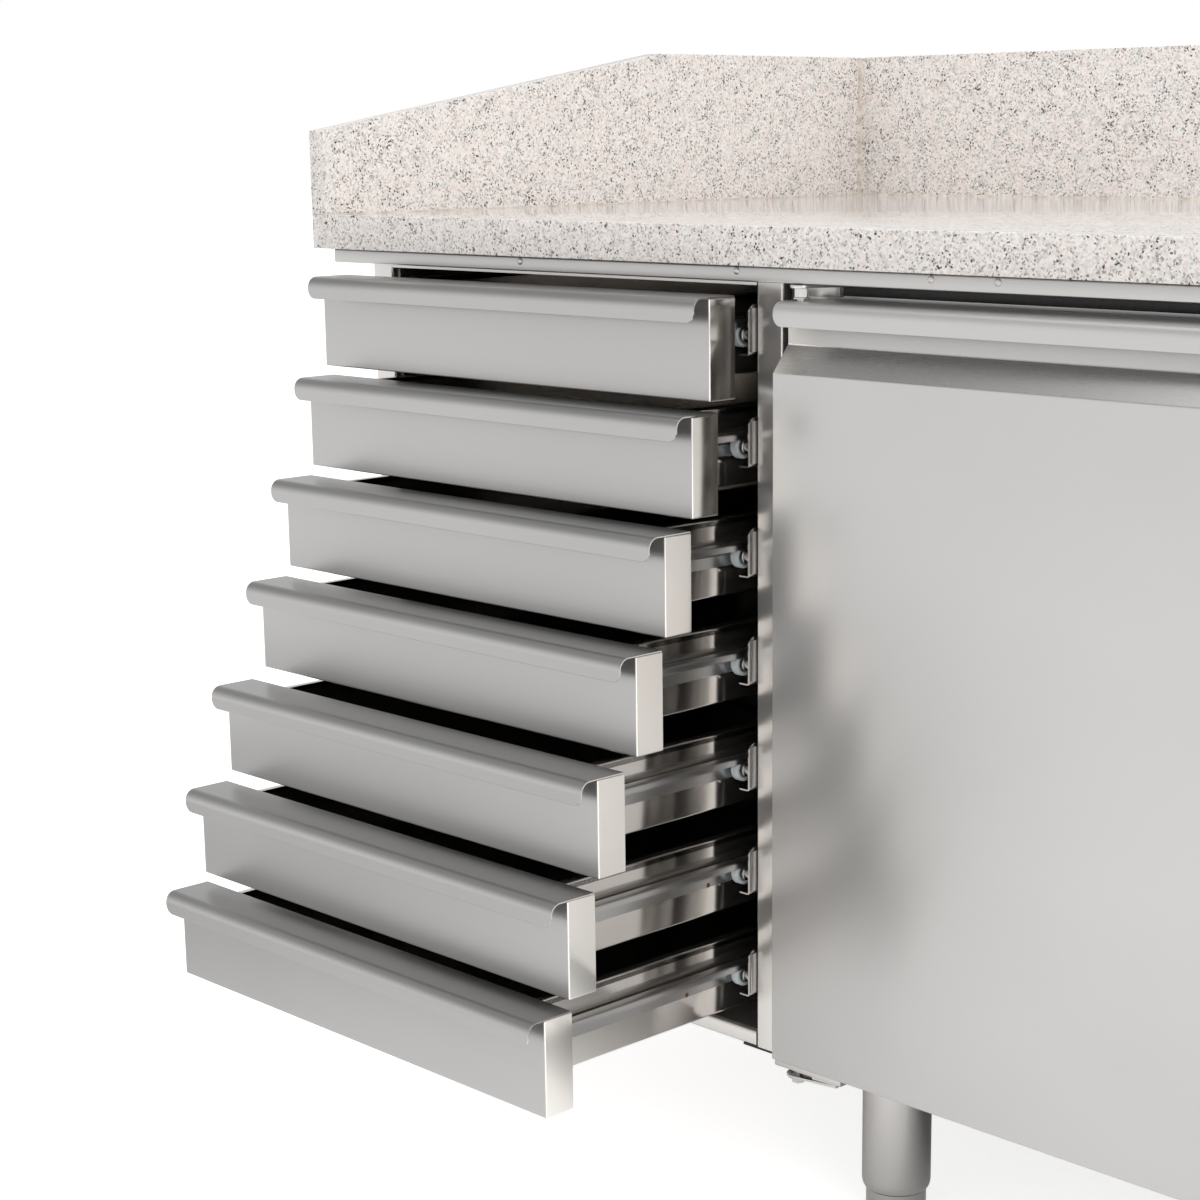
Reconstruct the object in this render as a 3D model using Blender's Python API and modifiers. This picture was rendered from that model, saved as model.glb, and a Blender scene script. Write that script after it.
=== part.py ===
"""Pizza prep table with a granite top, one insulated door and seven roller drawers.

Metres, +Z up. The front faces -Y. The origin is on the floor, under the middle of
the whole table with its drawers open by the amounts in drawer_pulls.
"""
import math

import bmesh
import bpy
from mathutils import Matrix, Vector

# Worktop
overall_width = 1.420
worktop_depth = 0.800
worktop_height = 0.850
slab_thickness = 0.032
upstand_thickness = 0.022
back_upstand_height = 0.155
side_upstand_front_height = 0.078
side_upstand_slope_run = 0.452
upstand_bed = 0.0005
granite_round = 0.003
support_height = 0.013
support_inset = 0.014

# Clearances and sheet metal
touch = 0.0003
overrun = 0.010
weld_overlap = 0.0003
front_sheet = 0.0012
box_sheet = 0.0012
carcass_sheet = 0.0015

# Drawer cabinet
leg_height = 0.135
side_overhang = 0.031
back_inset = 0.026
drawer_module_width = 0.534
post_width = 0.029
post_return = 0.022
bottom_rail_height = 0.0135
top_rail_height = 0.005
top_rail_depth = 0.020

# Drawers: how far each one stands open, from the top one down
drawer_pulls = (0.0405, 0.0610, 0.0929, 0.1268, 0.1710, 0.2057, 0.2330)
face_setback = 0.0163
face_overlap = 0.015
face_gap = 0.0015
return_depth = 0.030
drawer_gap = 0.0092
top_face_gap = 0.0102
lowest_face_gap = 0.016
lip_reach = 0.018
lip_drop = 0.020
nose_radius = 0.010
lip_corner_share = 0.9
box_length = 0.620
box_floor_height = 0.0145
box_top_gap = 0.0025

# Rollers, runners and rails
roller_radius = 0.0105
roller_width = 0.008
roller_hub_radius = 0.0062
roller_hub_depth = 0.003
roller_height = 0.0485
roller_gap = 0.009
roller_play = 0.0007
roller_behind_runner_front = 0.0067
pin_radius = 0.0026
pin_boss_radius = 0.0042
pin_head_radius = 0.005
runner_front_reach = 0.0075
runner_sheet = 0.0015
runner_height = 0.045
runner_top_height = 0.0795
runner_lip = 0.010
runner_corner = 0.008
panel_start = 0.008
panel_back_gap = 0.012
rail_web_drop = 0.020
rail_joggle = 0.003
rail_lip = 0.006
rail_start = 0.004

# Cold cabinet
module_gap = 0.002
cold_setback = 0.0553
insulation = 0.045
hinge_wall = 0.059
shelf_rail_width = 0.012
shelf_rail_height = 0.012
shelf_height_share = 0.5

# Door
door_overlay = 0.030
door_setback = 0.0016
door_floor_gap = 0.018
door_top_gap = 0.013
door_thickness = 0.044
door_sheet = 0.0012
grip_recess = 0.018
grip_band_height = 0.035
grip_slope_height = 0.022
door_lip_drop = 0.020
gasket_inset = 0.0145
gasket_width = 0.0145

# Door hinges
hinge_inset = 0.014
hinge_depth = 0.0187
hinge_pin_radius = 0.0035
hinge_pin_length = 0.012
hinge_plate = 0.003
hinge_plate_width = 0.083
hinge_plate_reach = 0.025
hinge_tongue_reach = 0.010
hinge_leaf_height = 0.0113
hinge_door_gap = 0.0012
hinge_nut_radius = 0.0075
hinge_nut_height = 0.006

# Machine bay
machine_bay_width = 0.3125
panel_gap = 0.003
louvre_count = 12
louvre_height = 0.008
louvre_pitch = 0.022
louvre_side_margin = 0.045
louvre_base = 0.080
switch_width = 0.030
switch_height = 0.014
switch_depth = 0.012
switch_from_edge = 0.070
switch_from_top = 0.085
switch_angle = math.radians(8)

# Condensing unit
unit_base_width = 0.250
unit_base_depth = 0.560
unit_base_height = 0.006
unit_front_gap = 0.1247
compressor_radius = 0.075
compressor_height = 0.165
coil_width = 0.230
coil_height = 0.230
coil_depth = 0.060
shroud_radius = 0.100
shroud_wall = 0.004
shroud_depth = 0.035
motor_radius = 0.028
motor_depth = 0.050
motor_arm = 0.012
fan_tip_gap = 0.004
fan_hub_radius = 0.022
fan_hub_depth = 0.024
fan_blade_count = 5
fan_blade_width = 0.046
fan_blade_thickness = 0.003
fan_blade_pitch = math.radians(28)

# Cold compartment fittings
evaporator_side_gap = 0.039
evaporator_height = 0.180
evaporator_depth = 0.120
evaporator_chamfer = 0.050
evaporator_top_gap = 0.020
shelf_thickness = 0.006
shelf_front_gap = 0.040
shelf_back_gap = 0.150
shelf_side_gap = 0.003
shelf_border = 0.012
shelf_slot_count = 13
shelf_bar = 0.006

# Legs
leg_radius = 0.030
leg_wall = 0.0015
leg_shoulder = 0.008
leg_plug = 0.018
leg_side_inset = 0.0825
leg_front_inset = 0.0497
leg_back_inset = 0.055
foot_radius = 0.0262
foot_height = 0.022
foot_stem_radius = 0.006
foot_stem_length = 0.040
foot_edge = 0.003

# Facets
round_steps = 24
small_round_steps = 16
arc_steps = 5
shoulder_steps = 3
nut_sides = 6

# Heights that follow from the sizes
slab_bottom = worktop_height - slab_thickness
support_top = slab_bottom - touch
support_bottom = support_top - support_height
cabinet_top = support_bottom - touch
cabinet_bottom = leg_height
drawer_count = len(drawer_pulls)
lowest_face = cabinet_bottom + lowest_face_gap
drawer_stack = cabinet_top - top_face_gap - lowest_face
drawer_pitch = (drawer_stack + drawer_gap) / drawer_count
face_height = drawer_pitch - drawer_gap
door_bottom = cabinet_bottom + door_floor_gap
door_top = cabinet_top - door_top_gap
cavity_bottom = cabinet_bottom + insulation
cavity_top = cabinet_top - insulation

# Places along the width
worktop_left = -overall_width / 2
worktop_right = overall_width / 2
module_left = worktop_left + side_overhang
module_right = module_left + drawer_module_width
bay_left = module_left + post_width
bay_right = module_right - post_width
bay_middle = (bay_left + bay_right) / 2
bay_half = (bay_right - bay_left) / 2
face_width = 2 * (bay_half + face_overlap)
cold_left = module_right + module_gap
cold_right = worktop_right - side_overhang
machine_right = cold_right - carcass_sheet
machine_left = machine_right - machine_bay_width
cavity_left = cold_left + hinge_wall
cavity_right = machine_left - insulation
door_left = cavity_left - door_overlay
door_right = cavity_right + door_overlay
hinge_x = door_left + hinge_inset

# Places along the depth
open_reach = max(drawer_pulls) + lip_reach - face_setback
worktop_front = (open_reach - worktop_depth) / 2
worktop_back = worktop_front + worktop_depth
closed_face = worktop_front + face_setback
post_front = closed_face + return_depth + face_gap
carcass_back = worktop_back - back_inset
cold_front = worktop_front + cold_setback
door_front = worktop_front + door_setback
door_back = door_front + door_thickness
hinge_y = door_front + hinge_depth
cavity_back = carcass_back - insulation

# Places of the running gear, measured inward from the side of the drawer bay
panel_inner = touch + carcass_sheet
runner_inner = panel_inner + runner_sheet
roller_outer = runner_inner + roller_gap
roller_inner = roller_outer + roller_width
rail_web_face = roller_inner + roller_play
box_side_gap = rail_web_face + box_sheet + rail_joggle
box_half = bay_half - box_side_gap
rail_reach = box_side_gap - (roller_outer - roller_play - box_sheet)
rail_under = roller_height + roller_radius + touch
rail_top = rail_under + box_sheet
runner_front = post_front - runner_front_reach
roller_y = runner_front + roller_behind_runner_front
runner_bottom_height = runner_top_height - runner_height
box_height = face_height - box_top_gap - box_floor_height
lip_corner = (lip_drop - nose_radius) * lip_corner_share

MATERIALS = {
    "granite": ((0.66, 0.61, 0.57, 1.0), 0.0, 0.12),
    "brushed_steel": ((0.60, 0.59, 0.56, 1.0), 1.0, 0.32),
    "polished_steel": ((0.70, 0.69, 0.66, 1.0), 1.0, 0.15),
    "nylon": ((0.80, 0.84, 0.85, 1.0), 0.0, 0.40),
    "gasket_rubber": ((0.10, 0.10, 0.11, 1.0), 0.0, 0.70),
    "black_plastic": ((0.03, 0.03, 0.03, 1.0), 0.0, 0.45),
    "white_liner": ((0.78, 0.79, 0.79, 1.0), 0.0, 0.35),
    "painted_iron": ((0.02, 0.02, 0.022, 1.0), 0.0, 0.35),
    "coated_wire": ((0.75, 0.76, 0.78, 1.0), 0.0, 0.35),
}


def new_collection(name):
    collection = bpy.data.collections.new(name)
    bpy.context.scene.collection.children.link(collection)
    return collection


def make_material(name):
    colour, metallic, roughness = MATERIALS[name]
    material = bpy.data.materials.new(name)
    material.use_nodes = True
    shader = material.node_tree.nodes["Principled BSDF"]
    shader.inputs["Base Color"].default_value = colour
    shader.inputs["Metallic"].default_value = metallic
    shader.inputs["Roughness"].default_value = roughness
    material.diffuse_color = colour
    return material


def add_object(name, mesh):
    """Put a mesh in the scene as a working solid."""
    solid = bpy.data.objects.new(name, mesh)
    parts.objects.link(solid)
    return solid


def finish(solid, name, material, crease=math.radians(35)):
    """Give a finished sub-part its name, its material and its shading."""
    solid.name = name
    solid.data.name = name
    solid.data.materials.clear()
    solid.data.materials.append(materials[material])
    solid.data.shade_smooth()
    solid.data.set_sharp_from_angle(angle=crease)
    return solid


def box(low, high):
    """A box between two corners."""
    shape = bmesh.new()
    bmesh.ops.create_cube(shape, size=1)
    middle = (Vector(low) + Vector(high)) / 2
    size = Vector(high) - Vector(low)
    bmesh.ops.scale(shape, vec=size, verts=shape.verts)
    bmesh.ops.translate(shape, vec=middle, verts=shape.verts)
    mesh = bpy.data.meshes.new("box")
    shape.to_mesh(mesh)
    shape.free()
    return add_object("box", mesh)


def side_box(side, inward, depth, height):
    """A box placed by its distances inward from the left or the right side of the drawer bay."""
    ends = sorted(bay_middle + side * (bay_half - distance) for distance in inward)
    return box((ends[0], depth[0], height[0]), (ends[1], depth[1], height[1]))


def cylinder(start, end, radius, steps=small_round_steps):
    """A solid cylinder from one point to another."""
    axis = Vector(end) - Vector(start)
    turn = Vector((0, 0, 1)).rotation_difference(axis).to_matrix().to_4x4()
    middle = (Vector(start) + Vector(end)) / 2
    shape = bmesh.new()
    bmesh.ops.create_cone(
        shape, cap_ends=True, segments=steps, radius1=radius, radius2=radius,
        depth=axis.length, matrix=Matrix.Translation(middle) @ turn)
    mesh = bpy.data.meshes.new("cylinder")
    shape.to_mesh(mesh)
    shape.free()
    return add_object("cylinder", mesh)


def as_mesh(source):
    """Replace a curve or a modified object by the closed mesh that it makes."""
    bpy.context.view_layer.update()
    graph = bpy.context.evaluated_depsgraph_get()
    mesh = bpy.data.meshes.new_from_object(source.evaluated_get(graph))
    mesh.transform(source.matrix_world)
    name = source.name
    bpy.data.objects.remove(source)
    shape = bmesh.new()
    shape.from_mesh(mesh)
    bmesh.ops.remove_doubles(shape, verts=shape.verts, dist=touch / 10)
    bmesh.ops.recalc_face_normals(shape, faces=shape.faces)
    shape.to_mesh(mesh)
    shape.free()
    return add_object(name, mesh)


def prism(outline, start, end, across, up):
    """Extrude a flat outline, drawn along the axes across and up, between two distances."""
    normal = Vector(across).cross(Vector(up))
    frame = Matrix((across, up, normal)).transposed().to_4x4()
    curve = bpy.data.curves.new("outline", "CURVE")
    curve.dimensions = "2D"
    curve.fill_mode = "BOTH"
    curve.extrude = abs(end - start) / 2
    spline = curve.splines.new("POLY")
    spline.points.add(len(outline) - 1)
    for point, (u, v) in zip(spline.points, outline):
        point.co = (u, v, 0, 1)
    spline.use_cyclic_u = True
    sweep = add_object("prism", curve)
    sweep.matrix_world = Matrix.Translation(normal * (start + end) / 2) @ frame
    return as_mesh(sweep)


def prism_x(outline, start, end):
    """Extrude an outline of (y, z) points along X."""
    return prism(outline, start, end, (0, 1, 0), (0, 0, 1))


def prism_y(outline, start, end):
    """Extrude an outline of (z, x) points along Y."""
    return prism(outline, start, end, (0, 0, 1), (1, 0, 0))


def prism_z(outline, start, end):
    """Extrude an outline of (x, y) points along Z."""
    return prism(outline, start, end, (1, 0, 0), (0, 1, 0))


def turned(profile, steps, ring):
    """Turn a profile of (radius, height) points about Z; a ring's profile is a closed loop."""
    count = len(profile)
    edges = [(index, index + 1) for index in range(count - 1)]
    if ring:
        edges.append((count - 1, 0))
    mesh = bpy.data.meshes.new("profile")
    mesh.from_pydata([(radius, 0, height) for radius, height in profile], edges, [])
    lathe = add_object("turned", mesh)
    screw = lathe.modifiers.new("turn", "SCREW")
    screw.steps = steps
    screw.render_steps = steps
    screw.use_merge_vertices = True
    screw.merge_threshold = touch / 10
    return as_mesh(lathe)


def arc(centre, radius, start, end, steps=arc_steps):
    """Points along an arc, from one angle to another."""
    points = []
    for step in range(steps + 1):
        angle = start + (end - start) * step / steps
        points.append((centre[0] + radius * math.cos(angle), centre[1] + radius * math.sin(angle)))
    return points


def apply_boolean(base, tool, operation):
    modifier = base.modifiers.new(operation.lower(), "BOOLEAN")
    modifier.operation = operation
    modifier.solver = "EXACT"
    modifier.object = tool
    bpy.context.view_layer.update()
    graph = bpy.context.evaluated_depsgraph_get()
    mesh = bpy.data.meshes.new_from_object(base.evaluated_get(graph))
    base.modifiers.clear()
    base.data = mesh
    bpy.data.objects.remove(tool)


def joined(base, *pieces):
    """Weld pieces on to a base, as one solid."""
    for piece in pieces:
        apply_boolean(base, piece, "UNION")
    return base


def carved(base, *cutters):
    """Cut pieces out of a base."""
    for cutter in cutters:
        apply_boolean(base, cutter, "DIFFERENCE")
    return base


def rounded_edges(solid, radius):
    """Round every edge of a stone slab, once each flat side is one face."""
    shape = bmesh.new()
    shape.from_mesh(solid.data)
    bmesh.ops.dissolve_limit(shape, angle_limit=math.radians(1), verts=shape.verts, edges=shape.edges)
    shape.to_mesh(solid.data)
    shape.free()
    bevel = solid.modifiers.new("edges", "BEVEL")
    bevel.width = radius
    bevel.segments = 2
    bevel.limit_method = "ANGLE"
    return solid


def face_bottom(index):
    """Height of a drawer face's lower edge, counted from the top drawer."""
    return lowest_face + (drawer_count - 1 - index) * drawer_pitch


def worktop_slab():
    """The slab, with a shallow bed cut along three of its edges for the upstands."""
    low = (worktop_left, worktop_front, slab_bottom)
    high = (worktop_right, worktop_back, worktop_height)
    slab = rounded_edges(box(low, high), granite_round)
    inner = upstand_thickness + touch
    left, right = worktop_left - overrun, worktop_right + overrun
    front, back = worktop_front - overrun, worktop_back + overrun
    bed = [
        (left, front), (worktop_left + inner, front), (worktop_left + inner, worktop_back - inner),
        (worktop_right - inner, worktop_back - inner), (worktop_right - inner, front), (right, front),
        (right, back), (left, back)]
    carved(slab, prism_z(bed, worktop_height - upstand_bed, worktop_height + overrun))
    finish(slab, "worktop_slab", "granite")


def back_upstand():
    low = (worktop_left, worktop_back - upstand_thickness, worktop_height - upstand_bed + touch)
    high = (worktop_right, worktop_back, worktop_height + back_upstand_height)
    finish(rounded_edges(box(low, high), granite_round), "back_upstand", "granite")


def side_upstand(name, outer, inner):
    """A side upstand, low at the front and rising to the height of the back one."""
    base = worktop_height - upstand_bed + touch
    top = worktop_height + back_upstand_height
    end = worktop_back - upstand_thickness - touch
    outline = [
        (worktop_front, base),
        (end, base),
        (end, top),
        (worktop_front + side_upstand_slope_run, top),
        (worktop_front, worktop_height + side_upstand_front_height)]
    stone = prism_x(outline, outer, inner)
    finish(rounded_edges(stone, granite_round), name, "granite")


def worktop_support():
    """The steel-clad board under the granite."""
    low = (worktop_left + support_inset, worktop_front + support_inset, support_bottom)
    high = (worktop_right - support_inset, worktop_back - support_inset, support_top)
    finish(box(low, high), "worktop_support", "brushed_steel")


def drawer_cabinet():
    """The open-fronted steel casing round the drawers."""
    sheet = carcass_sheet
    low, high = cabinet_bottom, cabinet_top
    return_end = post_front + post_return
    bend = post_front + sheet
    walls = [
        (bay_left, return_end), (bay_left, post_front), (module_left, post_front),
        (module_left, carcass_back), (module_right, carcass_back), (module_right, post_front),
        (bay_right, post_front), (bay_right, return_end),
        (bay_right + sheet, return_end), (bay_right + sheet, bend), (module_right - sheet, bend),
        (module_right - sheet, carcass_back - sheet), (module_left + sheet, carcass_back - sheet),
        (module_left + sheet, bend), (bay_left - sheet, bend), (bay_left - sheet, return_end)]
    casing = prism_z(walls, low, high)
    left, right = bay_left - sheet / 2, bay_right + sheet / 2
    joined(
        casing,
        box((module_left + sheet / 2, post_front + sheet / 2, low),
            (module_right - sheet / 2, carcass_back - sheet / 2, low + sheet)),
        box((left, post_front, low), (right, bend, low + bottom_rail_height)),
        box((left, post_front, high - top_rail_height), (right, bend, high)),
        box((left, post_front + sheet / 2, high - sheet), (right, post_front + top_rail_depth, high)))
    finish(casing, "drawer_cabinet", "brushed_steel")


def runner(side, base):
    """One runner with its lip, its roller pin and the pin's head, on one side of the bay."""
    plate = (panel_inner - weld_overlap, runner_inner)
    ends = sorted(bay_middle + side * (bay_half - distance) for distance in plate)
    low = base + runner_bottom_height
    top = base + runner_top_height
    back = carcass_back - panel_back_gap
    corner = arc((runner_front + runner_corner, top - runner_corner), runner_corner, math.pi / 2, math.pi)
    outline = [(back, low), (back, top)] + corner + [(runner_front, low)]
    web = prism_x(outline, ends[0], ends[1])
    lip = side_box(side, (runner_inner - weld_overlap, runner_inner + runner_lip),
                   (runner_front, back), (low, low + runner_sheet))
    centre = base + roller_height

    def on_axis(inward):
        return (bay_middle + side * (bay_half - inward), roller_y, centre)

    boss_end = roller_outer + roller_hub_depth - touch
    boss = cylinder(on_axis(panel_inner), on_axis(boss_end), pin_boss_radius)
    pin = cylinder(on_axis(panel_inner), on_axis(roller_inner), pin_radius)
    head = cylinder(on_axis(touch), on_axis(panel_inner), pin_head_radius)
    return web, lip, boss, pin, head


def runner_panel(name, side):
    """The side panel that carries seven runners, one below the other."""
    panel = side_box(
        side, (touch, panel_inner), (post_front + panel_start, carcass_back - panel_back_gap),
        (cabinet_bottom + carcass_sheet + touch, cabinet_top - carcass_sheet - touch))
    for index in range(drawer_count):
        joined(panel, *runner(side, face_bottom(index)))
    finish(panel, name, "brushed_steel")


def grip_section(root, front, top, drop, sheet):
    """A grip's section along (y, z): forward from its root, round the nose, down the lip and back."""
    centre = (front + nose_radius, top - nose_radius)
    points = [(root, top - sheet)]
    points += arc(centre, nose_radius - sheet, math.pi / 2, math.pi)
    points += [(front + sheet, top - drop), (front, top - drop)]
    points += arc(centre, nose_radius, math.pi, math.pi / 2)
    return points


def grip_corners(ends, front, bottom):
    """Cutters that round the lower corners of a grip's lip."""
    level = bottom + lip_corner
    under = bottom - overrun
    cutters = []
    for end, toward in zip(ends, (1, -1)):
        turn = arc((0, 0), lip_corner, math.pi, 1.5 * math.pi)
        beyond = end - toward * overrun
        outline = [(level + z, end + toward * (lip_corner + x)) for x, z in turn]
        outline += [(under, end + toward * lip_corner), (under, beyond), (level, beyond)]
        cutters.append(prism_y(outline, front - overrun, front + nose_radius))
    return cutters


def drawer_front_mesh():
    """A folded face with side returns and a grip that curls forward and down."""
    half = face_width / 2
    sheet = front_sheet
    top = face_height
    section = [(return_depth, top), (return_depth, 0), (0, 0)]
    section += grip_section(0, -lip_reach, top, lip_drop, sheet)
    inside = box((-half + sheet, sheet, sheet), (half - sheet, return_depth + overrun, top - sheet))
    corners = grip_corners((-half, half), -lip_reach, top - lip_drop)
    return carved(prism_x(section, -half, half), inside, *corners)


def drawer_box_mesh():
    """An open tray with a rail along each side that runs on the rollers."""
    front = front_sheet + touch
    back = front + box_length
    sheet = box_sheet
    low = box_floor_height
    high = low + box_height
    tray = box((-box_half, front, low), (box_half, back, high))
    inside = box(
        (sheet - box_half, front + sheet, low + sheet),
        (box_half - sheet, back - sheet, high + overrun))
    carved(tray, inside)
    web_low = rail_top - rail_web_drop
    web_bend = web_low + rail_web_drop / 2
    section = [
        (web_low, -weld_overlap), (web_low, sheet), (web_bend, sheet),
        (web_bend + rail_joggle, sheet + rail_joggle), (rail_under, sheet + rail_joggle),
        (rail_under, rail_reach - sheet), (rail_top - rail_lip, rail_reach - sheet),
        (rail_top - rail_lip, rail_reach), (rail_top, rail_reach), (rail_top, rail_joggle),
        (web_bend + rail_joggle, rail_joggle), (web_bend, 0), (web_bend, -weld_overlap)]
    for side in (-1, 1):
        outline = [(z, side * (box_half + x)) for z, x in section]
        joined(tray, prism_y(outline, front + rail_start, back))
    return tray


def drawers():
    """Seven equal drawers, each standing open by its own amount."""
    front = finish(drawer_front_mesh(), "drawer_front_1", "brushed_steel")
    tray = finish(drawer_box_mesh(), "drawer_box_1", "brushed_steel")
    for index, pull in enumerate(drawer_pulls):
        place = (bay_middle, closed_face - pull, face_bottom(index))
        for first, label in ((front, "drawer_front"), (tray, "drawer_box")):
            piece = first if index == 0 else add_object(f"{label}_{index + 1}", first.data)
            piece.location = place


def rollers():
    """A nylon roller on each runner's pin, with a recess round the pin's boss."""
    half = roller_width / 2
    bore = pin_radius + touch
    profile = [
        (roller_hub_radius, half), (roller_radius, half), (roller_radius, -half), (bore, -half),
        (bore, half - roller_hub_depth), (roller_hub_radius, half - roller_hub_depth)]
    shape = finish(turned(profile, small_round_steps, True), "roller_right_1", "nylon")
    middle = bay_half - (roller_outer + roller_inner) / 2
    for label, side in (("roller_right", 1), ("roller_left", -1)):
        for index in range(drawer_count):
            first = label == "roller_right" and index == 0
            roller = shape if first else add_object(f"{label}_{index + 1}", shape.data)
            roller.rotation_euler = (0, side * math.pi / 2, 0)
            roller.location = (bay_middle + side * middle, roller_y, face_bottom(index) + roller_height)


def cold_cabinet():
    """The insulated cabinet with its cold compartment, shelf rails and machine bay."""
    body = box((cold_left, cold_front, cabinet_bottom), (cold_right, carcass_back, cabinet_top))
    cavity = box((cavity_left, cold_front - overrun, cavity_bottom), (cavity_right, cavity_back, cavity_top))
    bay = box(
        (machine_left, cold_front - overrun, cabinet_bottom + carcass_sheet),
        (machine_right, carcass_back + overrun, cabinet_top - carcass_sheet))
    carved(body, cavity, bay)
    rail_top_height = cavity_bottom + (cavity_top - cavity_bottom) * shelf_height_share
    depth = (cold_front + shelf_front_gap, cavity_back - shelf_back_gap)
    for wall, toward in ((cavity_left, 1), (cavity_right, -1)):
        ends = sorted((wall - toward * weld_overlap, wall + toward * shelf_rail_width))
        low = (ends[0], depth[0], rail_top_height - shelf_rail_height)
        joined(body, box(low, (ends[1], depth[1], rail_top_height)))
    finish(body, "cold_cabinet", "brushed_steel")
    return rail_top_height


def shelf(rail_top_height):
    """A shelf with slots, laid on the two rails."""
    low_x, high_x = cavity_left + shelf_side_gap, cavity_right - shelf_side_gap
    low_y, high_y = cold_front + shelf_front_gap, cavity_back - shelf_back_gap
    base = rail_top_height + touch
    top = base + shelf_thickness
    plate = box((low_x, low_y, base), (high_x, high_y, top))
    clear = high_x - low_x - 2 * shelf_border + shelf_bar
    step = clear / shelf_slot_count
    for index in range(shelf_slot_count):
        start = low_x + shelf_border + index * step
        slot = box(
            (start, low_y + shelf_border, base - overrun),
            (start + step - shelf_bar, high_y - shelf_border, top + overrun))
        carved(plate, slot)
    finish(plate, "shelf", "coated_wire")


def evaporator_cover():
    """The cover of the evaporator and its fan, on the back wall of the cold compartment."""
    left, right = cavity_left + evaporator_side_gap, cavity_right - evaporator_side_gap
    back = cavity_back - touch
    front = back - evaporator_depth
    top = cavity_top - evaporator_top_gap
    low = top - evaporator_height
    outline = [
        (back, low), (back, top), (front, top),
        (front, low + evaporator_chamfer), (front + evaporator_chamfer, low)]
    finish(prism_x(outline, left, right), "evaporator_cover", "white_liner")


def door_outline(inset, back, grip=()):
    """The door's section along (y, z), drawn in from its outer skin by an inset."""
    face = door_front + inset
    recess = door_front + grip_recess + inset
    band_low = door_top - grip_band_height
    slope_low = band_low - grip_slope_height
    ease = inset * (math.hypot(grip_recess, grip_slope_height) - grip_slope_height) / grip_recess
    outline = [(face, door_bottom + inset), (face, slope_low - ease), (recess, band_low - ease)]
    outline += grip or [(recess, door_top - inset)]
    return outline + [(back, door_top - inset), (back, door_bottom + inset)]


def hinge_hole(radius):
    """A cutter for the hinge pins at the top and the bottom of the door."""
    deep = hinge_pin_length + touch
    heights = ((door_top - deep, door_top + overrun), (door_bottom - overrun, door_bottom + deep))
    return [cylinder((hinge_x, hinge_y, low), (hinge_x, hinge_y, high), radius) for low, high in heights]


def door():
    """Outer skin with a grip at the top, insulated inner panel and gasket."""
    sheet = door_sheet
    grip = grip_section(door_front + grip_recess, door_front, door_top, door_lip_drop, sheet)
    skin = prism_x(door_outline(0, door_back, grip), door_left, door_right)
    hollow = prism_x(door_outline(sheet, door_back + overrun), door_left + sheet, door_right - sheet)
    corners = grip_corners((door_left, door_right), door_front, door_top - door_lip_drop)
    hole = hinge_pin_radius + touch
    carved(skin, hollow, *corners, *hinge_hole(hole))
    finish(skin, "door_skin", "brushed_steel")

    inset = sheet + touch
    core = prism_x(door_outline(inset, door_back), door_left + inset, door_right - inset)
    carved(core, *hinge_hole(hole))
    finish(core, "door_inner_panel", "white_liner")

    outer, inner = gasket_inset, gasket_inset + gasket_width
    low, high = door_back + touch, cold_front - touch
    ring = box((door_left + outer, low, door_bottom + outer), (door_right - outer, high, door_top - outer))
    window = box(
        (door_left + inner, low - overrun, door_bottom + inner),
        (door_right - inner, high + overrun, door_top - inner))
    carved(ring, window)
    finish(ring, "door_gasket", "gasket_rubber")


def hinge_bracket(name, face, away, pin_tip):
    """An angle bracket screwed to the cabinet's front, with a pin into the door's edge.

    face is the bracket's side near the door, and away is +1 above the door or -1 below it.
    """
    low, high = sorted((face, face + away * hinge_plate))
    left = hinge_x - hinge_plate_reach
    right = left + hinge_plate_width
    back = cold_front - touch
    tongue = box((left, hinge_y - hinge_tongue_reach, low), (right, back, high))
    leaf = box((left, back - hinge_plate, low), (right, back, low + hinge_leaf_height))
    middle = (low + high) / 2
    pin = cylinder((hinge_x, hinge_y, middle), (hinge_x, hinge_y, pin_tip), hinge_pin_radius)
    nut_end = face + away * (hinge_plate + hinge_nut_height)
    nut = cylinder((hinge_x, hinge_y, middle), (hinge_x, hinge_y, nut_end), hinge_nut_radius, nut_sides)
    joined(tongue, leaf, pin, nut)
    finish(tongue, name, "polished_steel")


def door_hinges():
    """The fixed brackets above and below the door."""
    upper = door_top + hinge_door_gap
    lower = door_bottom - hinge_door_gap
    hinge_bracket("hinge_top", upper, 1, door_top - hinge_pin_length)
    hinge_bracket("hinge_bottom", lower, -1, door_bottom + hinge_pin_length)


def louvre_panel():
    """The cover in front of the machine bay, with air slots and a hole for the switch."""
    left, right = door_right + panel_gap, cold_right
    back = cold_front - touch
    sheet = carcass_sheet
    cover = box((left, door_front, door_bottom), (right, back, door_top))
    hollow = box(
        (left + sheet, door_front + sheet, door_bottom + sheet),
        (right - sheet, back + overrun, door_top - sheet))
    carved(cover, hollow)
    for index in range(louvre_count):
        low = door_bottom + louvre_base + index * louvre_pitch
        slot = box(
            (left + louvre_side_margin, door_front - overrun, low),
            (right - louvre_side_margin, door_front + sheet + overrun, low + louvre_height))
        carved(cover, slot)
    x, z = right - switch_from_edge, door_top - switch_from_top
    half_width, half_height = switch_width / 2 + touch, switch_height / 2 + touch
    hole = box(
        (x - half_width, door_front - overrun, z - half_height),
        (x + half_width, door_front + sheet + overrun, z + half_height))
    carved(cover, hole)
    finish(cover, "louvre_panel", "brushed_steel")


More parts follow.
